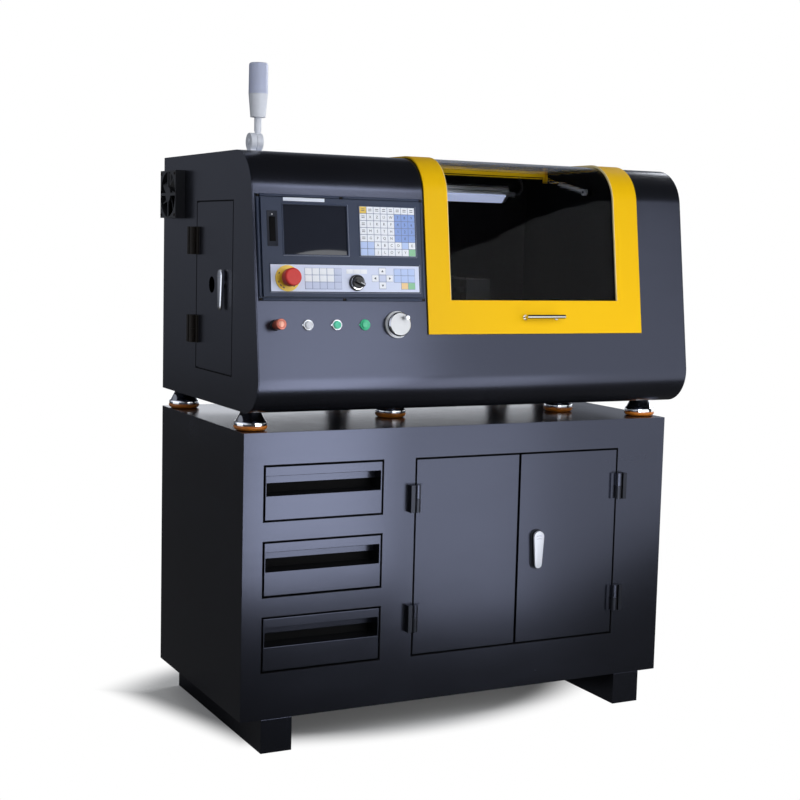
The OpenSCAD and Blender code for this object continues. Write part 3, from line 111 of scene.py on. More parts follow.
def ramp(tree: Tree, value: Socket, start: float, end: float, ease: str = "LINEAR") -> Socket:
    """Gives a value's rise from nothing at the start to one at the end."""
    node = settle(tree.nodes.new("ShaderNodeMapRange"), {"From Min": start, "From Max": end})
    node.interpolation_type = ease
    tree.links.new(value, node.inputs["Value"])
    return node.outputs["Result"]


def calc(tree: Tree, operation: str, first: Socket, second: Socket | float) -> Socket:
    """Joins a socket with another socket or with a number.

    Args:
        tree: The nodes.
        operation: Name of the operation.
        first: The socket.
        second: The other socket, or a number.

    Returns:
        The socket with the result.
    """
    node = tree.nodes.new("ShaderNodeMath")
    node.operation = operation
    tree.links.new(first, node.inputs[0])
    if isinstance(second, float):
        node.inputs[1].default_value = second
    else:
        tree.links.new(second, node.inputs[1])
    return node.outputs[0]


def measure(tree: Tree, operation: str, vector: Socket, other: Place) -> Socket:
    """Gives a number from a vector socket and a fixed vector."""
    node = tree.nodes.new("ShaderNodeVectorMath")
    node.operation = operation
    tree.links.new(vector, node.inputs[0])
    node.inputs[1].default_value = other
    return node.outputs["Value"]


def blend(tree: Tree, amount: Socket, first: Colour | Socket, second: Colour) -> Socket:
    """Mixes a colour, or a socket with one, with a second colour.

    Args:
        tree: The nodes.
        amount: The socket with the second colour's share.
        first: The first colour.
        second: The second colour.

    Returns:
        The socket with the mixed colour.
    """
    node = tree.nodes.new("ShaderNodeMix")
    node.data_type = "RGBA"
    tree.links.new(amount, node.inputs[0])
    if isinstance(first, tuple):
        node.inputs[6].default_value = (*first, 1.0)
    else:
        tree.links.new(first, node.inputs[6])
    node.inputs[7].default_value = (*second, 1.0)
    return node.outputs[2]


class Grain(Enum):
    """Fine relief of a surface, with the axis scales that stretch its noise."""

    EVEN = (1.0, 1.0, 1.0)
    BRUSHED = (0.03, 1.0, 1.0)


class EffectGroups:
    """Shader node groups that several finishes share."""

    def __init__(self) -> None:
        self.relief = self._relief()
        self.handling = self._handling()

    @staticmethod
    def _group(name: str, numbers: Sequence[str], results: Sequence[str]) -> tuple[Tree, Node, Node]:
        """Starts a group with a vector input.

        Args:
            name: Name of the group.
            numbers: Names of its number inputs.
            results: Names of its outputs.

        Returns:
            The group, its input node and its output node.
        """
        tree = bpy.data.node_groups.new(name, "ShaderNodeTree")
        tree.interface.new_socket("Vector", in_out="INPUT", socket_type="NodeSocketVector")
        for way, sockets in (("INPUT", numbers), ("OUTPUT", results)):
            for socket in sockets:
                tree.interface.new_socket(socket, in_out=way, socket_type="NodeSocketFloat")
        return tree, tree.nodes.new("NodeGroupInput"), tree.nodes.new("NodeGroupOutput")

    def _relief(self) -> Tree:
        """Builds the group for fine relief: a noise at a given scale, as a height and a mask.

        Returns:
            The group, with a height for a bump and a mask of slow colour change.
        """
        tree, source, sink = self._group("fine_relief", ("Scale", "Drift Scale"), ("Height", "Drift"))
        for scale, result, values in (("Scale", "Height", {"Detail": 2.0}),
                                      ("Drift Scale", "Drift", {"Detail": 3.0, "Roughness": 0.6})):
            noise = settle(tree.nodes.new("ShaderNodeTexNoise"), values)
            tree.links.new(source.outputs["Vector"], noise.inputs["Vector"])
            tree.links.new(source.outputs[scale], noise.inputs["Scale"])
            tree.links.new(noise.outputs["Fac"], sink.inputs[result])
        return tree

    def _handling(self) -> Tree:
        """Builds the group for traces of use: soft wipe marks and sparse specks of dust.

        Returns:
            The group, with a mask of wiped places and a mask of dust specks.
        """
        tree, source, sink = self._group("handling_marks", (), ("Wipe", "Dust"))
        nodes, link = tree.nodes, tree.links.new
        turn = settle(nodes.new("ShaderNodeMapping"), {"Rotation": (0.3, 0.5, 0.4), "Scale": (3.0, 3.0, 11.0)})
        wipe = settle(nodes.new("ShaderNodeTexNoise"), {"Scale": 1.0, "Detail": 4.0, "Distortion": 0.8})
        dust = settle(nodes.new("ShaderNodeTexVoronoi"), {"Scale": 220.0})
        link(source.outputs["Vector"], turn.inputs["Vector"])
        link(turn.outputs["Vector"], wipe.inputs["Vector"])
        link(source.outputs["Vector"], dust.inputs["Vector"])
        link(ramp(tree, wipe.outputs["Fac"], 0.52, 0.78), sink.inputs["Wipe"])
        link(ramp(tree, dust.outputs["Distance"], 0.09, 0.03), sink.inputs["Dust"])
        return tree


GROUPS = EffectGroups()


@dataclass(frozen=True)
class Finish:
    """One surface finish, made into a procedural material the first time that it is used."""

    name: str
    slot: str
    colour: Colour
    drift_colour: Colour
    rough: Pair = (0.4, 0.5)
    metallic: float = 0.0
    grain: Grain = Grain.EVEN
    grain_scale: float = 900.0
    drift_scale: float = 5.0
    bump: float = 0.06
    bump_depth: float = 0.0004
    wipe: float = 0.08
    dust: float = 0.0
    dust_colour: Colour = (0.5, 0.5, 0.52)
    coat: float = 0.0
    coat_rough: float = 0.08
    specular: float = 0.5
    tint: Colour = (1.0, 1.0, 1.0)
    transmission: float = 0.0
    ior: float = 1.5
    glow: float = 0.0

    def material(self) -> bpy.types.Material:
        """Builds the material, or finds the one that is there.

        Returns:
            The node material.
        """
        title = f"{self.name}_finish"
        found = bpy.data.materials.get(title)
        if found:
            return found
        made = bpy.data.materials.new(title)
        made.use_nodes = True
        tree = made.node_tree
        nodes, link = tree.nodes, tree.links.new
        place = nodes.new("ShaderNodeTexCoord").outputs["Object"]
        stretch = settle(nodes.new("ShaderNodeMapping"), {"Scale": self.grain.value})
        relief, marks = nodes.new("ShaderNodeGroup"), nodes.new("ShaderNodeGroup")
        relief.node_tree, marks.node_tree = GROUPS.relief, GROUPS.handling
        settle(relief, {"Scale": self.grain_scale, "Drift Scale": self.drift_scale})
        bump = settle(nodes.new("ShaderNodeBump"), {"Strength": self.bump, "Distance": self.bump_depth})
        shader = settle(nodes["Principled BSDF"], {
            "Metallic": self.metallic, "Specular IOR Level": self.specular, "Specular Tint": (*self.tint, 1.0),
            "Coat Weight": self.coat, "Coat Roughness": self.coat_rough, "IOR": self.ior,
            "Transmission Weight": self.transmission})
        if self.glow:
            settle(shader, {"Emission Color": (*self.colour, 1.0), "Emission Strength": self.glow})
        link(place, stretch.inputs["Vector"])
        link(stretch.outputs["Vector"], relief.inputs["Vector"])
        link(place, marks.inputs["Vector"])
        drift = relief.outputs["Drift"]
        colour = blend(tree, drift, self.colour, self.drift_colour)
        if self.dust:
            colour = blend(tree, calc(tree, "MULTIPLY", marks.outputs["Dust"], self.dust), colour, self.dust_colour)
        link(colour, shader.inputs["Base Color"])
        link(self._roughness(tree, drift, marks.outputs["Wipe"]), shader.inputs["Roughness"])
        link(relief.outputs["Height"], bump.inputs["Height"])
        link(bump.outputs["Normal"], shader.inputs["Normal"])
        return made

    def _roughness(self, tree: Tree, drift: Socket, wipe: Socket) -> Socket:
        """Spreads the roughness over the surface and raises it where the surface was wiped.

        Args:
            tree: The material's nodes.
            drift: The mask of slow change.
            wipe: The mask of wiped places.

        Returns:
            The socket with the roughness.
        """
        spread = settle(tree.nodes.new("ShaderNodeMapRange"), {"To Min": self.rough[0], "To Max": self.rough[1]})
        wiped = tree.nodes.new("ShaderNodeMath")
        wiped.operation, wiped.use_clamp = "MULTIPLY_ADD", True
        wiped.inputs[1].default_value = self.wipe
        tree.links.new(drift, spread.inputs["Value"])
        tree.links.new(wipe, wiped.inputs[0])
        tree.links.new(spread.outputs["Result"], wiped.inputs[2])
        return wiped.outputs[0]


def film(name: str, colour: Colour, drift: Colour) -> Finish:
    """Gives the finish of a printed film or of the keys on it."""
    return Finish(name, "film", colour, drift, (0.34, 0.44), grain_scale=2600.0, bump=0.08)


class Finishes:
    """The finishes of this machine."""

    BLACK_PAINT = Finish("black_paint", "black_paint", (0.005, 0.0052, 0.006), (0.0075, 0.0078, 0.009), (0.21, 0.27),
        dust=0.05, specular=0.95, tint=(0.64, 0.7, 1.0), bump=0.03, wipe=0.04)
    LINER_PAINT = Finish("liner_paint", "black_paint", (0.0016, 0.0016, 0.002), (0.0028, 0.0028, 0.0033), (0.5, 0.62),
        dust=0.05, specular=0.05)
    YELLOW_PAINT = Finish("yellow_paint", "yellow_paint", (0.83, 0.475, 0.0012), (0.86, 0.51, 0.002), (0.36, 0.44),
        bump=0.04, specular=0.1, wipe=0.05)
    SLATE_PAINT = Finish("slate_paint", "slate_panel", (0.023, 0.034, 0.07), (0.029, 0.041, 0.08), (0.42, 0.5),
        grain_scale=1600.0, bump=0.1, dust=0.05, specular=0.3)
    HINGE_BLACK = Finish("hinge_black", "black_metal", (0.006, 0.0062, 0.0075), (0.01, 0.0102, 0.012), (0.3, 0.36),
        specular=0.45, tint=(0.7, 0.76, 1.0), bump=0.02, drift_scale=12.0)
    # Matt black that paints shade into the drawer recesses, the gaps round the openings and the pockets under the bezel
    # screws; the data port's door wears it too.
    BLACK_AND_SHADE = Finish("recess_black", "black_paint", (0.0022, 0.0022, 0.0026), (0.0035, 0.0035, 0.004),
        (0.6, 0.72), specular=0.08, bump=0.03)
    # Lighter slate for the painted highlight strips on the frames' lower and right edges.
    SLATE_EDGE = Finish("slate_edge", "slate_panel", (0.15, 0.17, 0.235), (0.18, 0.2, 0.27), (0.34, 0.42), bump=0.04)
    POLISHED = Finish("polished_zinc", "aluminium", (0.78, 0.79, 0.82), (0.84, 0.85, 0.88), (0.1, 0.17), metallic=1.0,
        bump=0.02, drift_scale=40.0)
    FAN_PLASTIC = Finish("fan_plastic", "black_plastic", (0.019, 0.0197, 0.0235), (0.024, 0.0247, 0.029), (0.42, 0.5),
        grain_scale=1800.0, bump=0.12)
    DARK_OXIDE = Finish("dark_oxide", "black_metal", (0.02, 0.017, 0.0145), (0.028, 0.023, 0.0195), (0.5, 0.6),
        specular=0.15, drift_scale=60.0)
    CHROME = Finish("chrome", "chrome", (0.86, 0.87, 0.89), (0.8, 0.81, 0.84), (0.05, 0.1), metallic=1.0, bump=0.01,
        drift_scale=30.0)
    SATIN_ZINC = Finish("satin_zinc", "aluminium", (0.64, 0.66, 0.74), (0.7, 0.72, 0.79), (0.38, 0.46), metallic=0.35,
        bump=0.05, drift_scale=40.0)
    ALUMINIUM = Finish("brushed_aluminium", "aluminium", (0.74, 0.75, 0.78), (0.82, 0.83, 0.86), (0.22, 0.36),
        metallic=1.0, grain=Grain.BRUSHED, grain_scale=1200.0, bump=0.12, drift_scale=25.0)
    TURNED = Finish("turned_aluminium", "aluminium", (0.5, 0.505, 0.525), (0.56, 0.565, 0.585), (0.36, 0.44),
        metallic=0.3, bump=0.05, drift_scale=60.0)
    IRON = Finish("ground_iron", "iron", (0.04, 0.041, 0.045), (0.055, 0.056, 0.06), (0.34, 0.46), metallic=0.6,
        grain=Grain.BRUSHED, grain_scale=900.0, bump=0.12, drift_scale=18.0)
    CAST_IRON = Finish("cast_iron", "iron", (0.028, 0.03, 0.033), (0.04, 0.042, 0.046), (0.5, 0.62), metallic=0.2,
        grain_scale=500.0, bump=0.3, drift_scale=12.0)
    STEEL = Finish("ground_steel", "steel", (0.62, 0.63, 0.66), (0.7, 0.71, 0.73), (0.2, 0.3), metallic=1.0,
        drift_scale=40.0)
    ORANGE_PAD = Finish("orange_rubber", "orange_rubber", (0.62, 0.17, 0.012), (0.7, 0.22, 0.02), (0.42, 0.55),
        bump=0.15)
    BLACK_RUBBER = Finish("black_rubber", "black_rubber", (0.012, 0.012, 0.013), (0.02, 0.02, 0.021), (0.55, 0.68),
        bump=0.2)
    BLACK_PLASTIC = Finish("black_plastic", "black_plastic", (0.012, 0.012, 0.014), (0.018, 0.018, 0.02), (0.3, 0.42),
        grain_scale=1800.0, bump=0.14)
    SCREEN = Finish("screen_glass", "dark_glass", (0.017, 0.019, 0.028), (0.021, 0.024, 0.035), (0.022, 0.034),
        bump=0.002, specular=0.42, wipe=0.02, drift_scale=9.0)
    FILM = film("operator_film", (0.6, 0.65, 0.84), (0.64, 0.69, 0.87))
    KEY_WHITE = film("key_white", (0.78, 0.8, 0.87), (0.84, 0.86, 0.91))
    KEY_LAVENDER = film("key_lavender", (0.5, 0.55, 0.74), (0.56, 0.61, 0.8))
    KEY_BLUE = film("key_blue", (0.21, 0.32, 0.66), (0.25, 0.37, 0.72))
    KEY_SKY = film("key_sky", (0.42, 0.53, 0.82), (0.47, 0.58, 0.86))
    KEY_YELLOW = film("key_yellow", (0.75, 0.5, 0.06), (0.8, 0.56, 0.1))
    KEY_GREEN = film("key_green", (0.22, 0.5, 0.28), (0.27, 0.56, 0.33))
    KEY_ORANGE = film("key_orange", (0.8, 0.55, 0.25), (0.84, 0.6, 0.3))
    LEGEND = Finish("key_legend", "film", (0.03, 0.036, 0.07), (0.05, 0.056, 0.09), (0.4, 0.5))
    LABEL = Finish("bare_label", "film", (0.72, 0.76, 0.88), (0.78, 0.82, 0.92), (0.4, 0.5), grain_scale=2000.0)
    STOP_YELLOW = Finish("stop_yellow", "yellow_plastic", (0.86, 0.57, 0.045), (0.9, 0.62, 0.06), (0.36, 0.46),
        bump=0.1)
    STOP_RED = Finish("stop_red", "red_plastic", (0.62, 0.03, 0.026), (0.68, 0.042, 0.035), (0.36, 0.46), bump=0.08,
        specular=0.3)
    CAP_COPPER = Finish("cap_copper_red", "red_plastic", (0.6, 0.12, 0.075), (0.7, 0.2, 0.13), (0.2, 0.3),
        metallic=0.2, coat=0.4)
    CAP_WHITE = Finish("cap_white", "white_plastic", (0.62, 0.64, 0.7), (0.7, 0.72, 0.78), (0.25, 0.35), coat=0.2)
    CAP_GREEN = Finish("cap_green", "green_plastic", (0.012, 0.52, 0.31), (0.02, 0.6, 0.37), (0.25, 0.35), coat=0.3)
    CAP_BRIGHT = Finish("cap_bright_green", "green_plastic", (0.02, 0.52, 0.25), (0.03, 0.58, 0.3), (0.25, 0.35),
        coat=0.3)
    CAP_FACE = Finish("cap_copper_face", "red_plastic", (0.78, 0.33, 0.24), (0.84, 0.4, 0.3), (0.22, 0.32),
        metallic=0.2, coat=0.3)
    KEY_GRID = Finish("key_grid", "film", (0.13, 0.165, 0.3), (0.15, 0.19, 0.33), (0.4, 0.5), grain_scale=2000.0)
    GREY_PLASTIC = Finish("grey_plastic", "grey_plastic", (0.83, 0.86, 0.96), (0.87, 0.9, 0.98), (0.4, 0.5),
        grain_scale=1500.0, bump=0.12)
    LENS = Finish("beacon_lens", "diffuser", (0.72, 0.77, 1.0), (0.78, 0.83, 1.0), (0.26, 0.34), transmission=0.3,
        ior=1.3, bump=0.03)
    WINDOW = Finish("window_acrylic", "clear_window", (0.8, 0.82, 0.85), (0.82, 0.84, 0.87), (0.0, 0.0),
        transmission=1.0, ior=1.14, bump=0.35, bump_depth=0.004, grain_scale=5.0, wipe=0.0, drift_scale=2.0)
    DIFFUSER = Finish("lamp_diffuser", "diffuser", (0.6, 0.66, 0.9), (0.64, 0.7, 0.93), (0.4, 0.5), glow=0.5)
    STRUT_PAINT = Finish("strut_paint", "black_metal", (0.4, 0.405, 0.42), (0.46, 0.465, 0.48), (0.22, 0.3),
        metallic=0.6, coat=0.4)
    RING_ZINC = Finish("ring_zinc", "aluminium", (0.72, 0.74, 0.79), (0.8, 0.82, 0.86), (0.2, 0.3), metallic=0.85,
        bump=0.03, drift_scale=40.0)
    PORT_BLUE = Finish("port_blue_black", "black_plastic", (0.007, 0.0095, 0.019), (0.01, 0.013, 0.025), (0.4, 0.5),
        specular=0.22, grain_scale=1800.0, bump=0.1)
    TOOL_BLACK = Finish("tool_oxide", "iron", (0.006, 0.006, 0.007), (0.01, 0.01, 0.011), (0.45, 0.56), specular=0.2,
        bump=0.08, drift_scale=18.0)
    FILM_GRID = Finish("film_grid", "film", (0.22, 0.27, 0.45), (0.25, 0.3, 0.49), (0.4, 0.5), grain_scale=2000.0)
    HANDLE_CHROME = Finish("handle_chrome", "chrome", (0.5, 0.48, 0.43), (0.56, 0.54, 0.48), (0.1, 0.16),
        metallic=1.0, bump=0.01, drift_scale=30.0)
    # Cream for the painted highlights on the window's cut edges.
    EDGE_TRIM = Finish("edge_trim", "yellow_paint", (0.78, 0.62, 0.28), (0.82, 0.67, 0.34), (0.36, 0.44), bump=0.05)
    BELT = Finish("belt_rubber", "black_rubber", (0.015, 0.015, 0.015), (0.025, 0.025, 0.025), (0.6, 0.72),
        grain_scale=400.0, bump=0.3)


class Workshop:
    """Modelling steps that the sub-assemblies share, with their sizes in millimetres and angles in degrees."""

    SHARP = 35.0
    SMOOTH = 38.0
    FLAT = 0.4
    UPWARD = 0.9
    NEAR = 0.001
    FACE_WEIGHT = 80
    SIGN_HALF = 0.05

    @staticmethod
    def only(piece: Piece) -> None:
        """Selects one piece alone and makes it active."""
        bpy.ops.object.select_all(action="DESELECT")
        piece.select_set(True)
        bpy.context.view_layer.objects.active = piece

    @classmethod
    @contextmanager
    def editing(cls, piece: Piece) -> Iterator[None]:
        """Opens a piece in edit mode with all of it selected, and closes it afterwards."""
        cls.only(piece)
        bpy.ops.object.mode_set(mode="EDIT")
        bpy.ops.mesh.select_all(action="SELECT")
        yield
        bpy.ops.object.mode_set(mode="OBJECT")

    @staticmethod
    def named(name: str) -> Piece:
        """Names the piece that was just added, with its place moved into its mesh."""
        piece = bpy.context.active_object
        piece.name = piece.data.name = name
        bpy.ops.object.transform_apply(location=True, rotation=True, scale=True)
        return piece

    @classmethod
    def added(cls, name: str, primitive: Callable[..., object], scale: Place = (1.0, 1.0, 1.0),
              **values: object) -> Piece:
        """Adds a primitive to be worked on.

        Args:
            name: Name of the piece.
            primitive: The operator that adds it.
            scale: Its scale.
            **values: The operator's values, in metres.

        Returns:
            The piece, with its place in its mesh.
        """
        bpy.ops.object.select_all(action="DESELECT")
        primitive(**values)
        bpy.context.active_object.scale = scale
        return cls.named(name)

    @staticmethod
    def linked(name: str, mesh: bpy.types.Mesh) -> Piece:
        """Puts a mesh into the scene as a piece."""
        piece = bpy.data.objects.new(name, mesh)
        bpy.context.scene.collection.objects.link(piece)
        return piece

    @classmethod
    def block(cls, name: str, low: Place, high: Place, edge: float = 0.0, segments: int = 2,
              angle: float = SHARP) -> Piece:
        """Models a box between two corners.

        Args:
            name: Name of the piece.
            low: Lowest corner.
            high: Highest corner.
            edge: Width of its rounded edges, or nothing for a box that is worked on.
            segments: Number of steps of the rounding.
            angle: Least angle of an edge that is rounded.

        Returns:
            The box.
        """
        a, b = mm(*low), mm(*high)
        piece = cls.added(name, bpy.ops.mesh.primitive_cube_add, b - a, size=1.0, location=(a + b) / 2)
        if edge:
            cls.round_edges(piece, edge, segments, angle)
        return piece

    @classmethod
    def turned(cls, name: str, profile: Profile, sides: int = 64) -> Piece:
        """Spins a profile about the Z axis.

        Args:
            name: Name of the piece.
            profile: Points as radius and height, in order.
            sides: Number of steps of the spin.

        Returns:
            The turned piece.
        """
        mesh = bpy.data.meshes.new(name)
        edges = [(i, i + 1) for i in range(len(profile) - 1)]
        mesh.from_pydata([(r * MM, 0.0, z * MM) for r, z in profile], edges, [])
        piece = cls.linked(name, mesh)
        with cls.editing(piece):
            bpy.ops.mesh.spin(steps=sides, angle=math.tau, center=(0, 0, 0), axis=(0, 0, 1))
            bpy.ops.mesh.select_all(action="SELECT")
            bpy.ops.mesh.remove_doubles(threshold=cls.NEAR * MM)
            bpy.ops.mesh.normals_make_consistent(inside=False)
        cls.smooth(piece)
        return piece

    @classmethod
    def thickened(cls, piece: Piece, shift: Vector) -> None:
        """Extrudes a flat piece by a shift in metres and turns its faces outwards."""
        with cls.editing(piece):
            bpy.ops.mesh.extrude_region_move(TRANSFORM_OT_translate={"value": shift})
            bpy.ops.mesh.select_all(action="SELECT")
            bpy.ops.mesh.normals_make_consistent(inside=False)

    @classmethod
    def ring_frame(cls, name: str, low: Place, high: Place, width: float, edge: float) -> Piece:
        """Makes a flat rectangular frame by an inset and an extrusion.

        Args:
            name: Name of the piece.
            low: Lowest outer corner.
            high: Highest outer corner.
            width: Width of the frame.
            edge: Width of its rounded edges.

        Returns:
            The frame.
        """
        a, b = mm(*low), mm(*high)
        piece = cls.added(name, bpy.ops.mesh.primitive_plane_add, (b.x - a.x, b.y - a.y, 1.0), size=1.0,
                          location=((a.x + b.x) / 2, (a.y + b.y) / 2, a.z))
        with cls.editing(piece):
            bpy.ops.mesh.select_mode(type="FACE")
            bpy.ops.mesh.inset(thickness=width * MM)
            bpy.ops.mesh.delete(type="FACE")
        cls.thickened(piece, Vector((0.0, 0.0, b.z - a.z)))
        cls.round_edges(piece, edge)
        return piece

    @classmethod
    def round_edges(cls, piece: Piece, width: float, segments: int = 2, angle: float = SHARP) -> None:
        """Rounds the sharp edges of a piece by an applied bevel.

        Args:
            piece: The piece.
            width: Width of the rounding.
            segments: Number of its steps.
            angle: Least angle of an edge that is rounded.
        """
        cls.only(piece)
        bevel = piece.modifiers.new("rounding", "BEVEL")
        bevel.width, bevel.segments = width * MM, segments
        bevel.limit_method, bevel.angle_limit = "ANGLE", math.radians(angle)
        bpy.ops.object.modifier_apply(modifier=bevel.name)
        cls.smooth(piece)

    @classmethod
    def smooth(cls, piece: Piece) -> None:
        """Shades a piece smooth except at its sharp edges."""
        cls.only(piece)
        bpy.ops.object.shade_smooth_by_angle(angle=math.radians(cls.SMOOTH))

    @classmethod
    def cut(cls, piece: Piece, cutter: Piece) -> None:
        """Cuts a recess into a piece with another one, which goes."""
        cls.only(piece)
        recess = piece.modifiers.new("recess", "BOOLEAN")
        recess.operation, recess.object, recess.solver = "DIFFERENCE", cutter, "EXACT"
        bpy.ops.object.modifier_apply(modifier=recess.name)
        bpy.data.objects.remove(cutter)

    @classmethod
    def raise_top(cls, piece: Piece, inset: float, lift: float) -> None:
        """Insets the face that points up and moves it outwards or inwards.

        Args:
            piece: The piece.
            inset: Width of the inset.
            lift: How far the inner face moves along Z.
        """
        cls.only(piece)
        top = max(p.center.z for p in piece.data.polygons if p.normal.z > cls.UPWARD)
        for p in piece.data.polygons:
            p.select = p.normal.z > cls.UPWARD and p.center.z > top - cls.NEAR * MM
        bpy.ops.object.mode_set(mode="EDIT")
        bpy.ops.mesh.select_mode(type="FACE")
        bpy.ops.mesh.inset(thickness=inset * MM)
        bpy.ops.transform.translate(value=(0, 0, lift * MM))
        bpy.ops.object.mode_set(mode="OBJECT")

    @classmethod
    def copied(cls, piece: Piece, name: str, matrix: Matrix) -> Piece:
        """Copies a piece with its own mesh, moved by a matrix."""
        twin = cls.linked(name, piece.data.copy())
        twin.data.transform(matrix)
        return twin

    @classmethod
    def repeated(cls, name: str, master: Piece, places: Iterable[Matrix]) -> Piece:
        """Copies a piece to many places and joins the copies. The piece itself goes."""
        piece = cls.joined(name, [cls.copied(master, "copy", place) for place in places])
        bpy.data.objects.remove(master)
        return piece

    @staticmethod
    def joined(name: str, pieces: Sequence[Piece]) -> Piece:
        """Joins pieces into one."""
        bpy.ops.object.select_all(action="DESELECT")
        for piece in pieces:
            piece.select_set(True)
        bpy.context.view_layer.objects.active = pieces[0]
        bpy.ops.object.join()
        pieces[0].name = pieces[0].data.name = name
        return pieces[0]

    @classmethod
    def letter(cls, sign: str, size: float, middle: Place) -> Piece:
        """Makes one flat sign of a key as a mesh.

        Args:
            sign: The letter or digit.
            size: Height of the type.
            middle: Middle of the sign.

        Returns:
            The sign.
        """
        bpy.ops.object.select_all(action="DESELECT")
        bpy.ops.object.text_add(location=mm(*middle))
        text = bpy.context.active_object.data
        text.body, text.size = sign, size * MM
        text.align_x, text.align_y = "CENTER", "CENTER"
        text.resolution_u, text.extrude = 2, cls.SIGN_HALF * MM
        bpy.ops.object.convert(target="MESH")
        return cls.named("sign")

    @classmethod
    def softened(cls, node: str, width: float) -> Piece:
        """Makes a copy of a solid with its sharp edges rounded and its broad faces shaded flat.

        Args:
            node: Name of the CAD node.
            width: Width of the rounding.

        Returns:
            The rounded copy.
        """
        piece = cls.linked(f"{node}_finished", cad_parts[node].data.copy())
        cls.only(piece)
        bpy.ops.mesh.customdata_custom_splitnormals_clear()
        with cls.editing(piece):
            bpy.ops.mesh.remove_doubles(threshold=2 * cls.NEAR * MM)
            bpy.ops.mesh.dissolve_limited(angle_limit=math.radians(cls.FLAT))
            bpy.ops.mesh.select_all(action="DESELECT")
            bpy.ops.mesh.select_mode(type="EDGE")
            bpy.ops.mesh.edges_select_sharp(sharpness=math.radians(cls.SHARP))
            bpy.ops.mesh.bevel(offset=width * MM, segments=2, profile=0.5, clamp_overlap=True)
        cls.smooth(piece)
        weight = piece.modifiers.new("flat_faces", "WEIGHTED_NORMAL")
        weight.mode, weight.weight, weight.keep_sharp = "FACE_AREA", cls.FACE_WEIGHT, True
        bpy.ops.object.modifier_apply(modifier=weight.name)
        return piece

    @staticmethod
    def dress(piece: Piece, finish: Finish, body: str, stands_for: Iterable[str] = (),
              at: Matrix | None = None) -> None:
        """Gives a new piece its place, its finish and its body.

        Args:
            piece: The piece.
            finish: Its finish.
            body: Name of the CAD body that carries it.
            stands_for: CAD nodes that it replaces.
            at: Matrix that moves it into place, if it isn't there.
        """
        if at is not None:
            piece.data.transform(at)
        piece.data.materials.clear()
        piece.data.materials.append(finish.material())
        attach(piece, body)
        for node in stands_for:
            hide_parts(node)
        LOG.info("%s rides on %s in %s", piece.name, body, finish.name)


@dataclass(frozen=True)
class Softbox:
    """One soft light: its middle, width and height, level and the point that it faces, if not straight ahead."""

    name: str
    place: Place
    size: Pair
    level: float
    aim: Place | None = None
    turn: float = 0.0
    lights: bool = True
    shows: bool = True
    shape: str = "RECTANGLE"

    def build(self) -> None:
        """Adds the light with its roll in degrees: it lights matt surfaces, shows in glossy ones, or both."""
        data = bpy.data.lights.new(self.name, "AREA")
        data.shape, data.color = self.shape, DAYLIGHT
        data.size, data.size_y = self.size
        data.energy = self.level * math.pi * self.size[0] * self.size[1]
        lamp = bpy.data.objects.new(self.name, data)
        x, _, z = self.place
        ahead = Vector(self.aim or (x, 0.0, z)) - Vector(self.place)
        facing = ahead.to_track_quat("-Z", "Y").to_matrix().to_4x4()
        rolled = Matrix.Rotation(math.radians(-self.turn), 4, "Y") @ facing
        lamp.matrix_world = Matrix.Translation(Vector(self.place)) @ rolled
        lamp.visible_camera, lamp.visible_diffuse, lamp.visible_glossy = False, self.lights, self.shows
        bpy.context.scene.collection.objects.link(lamp)


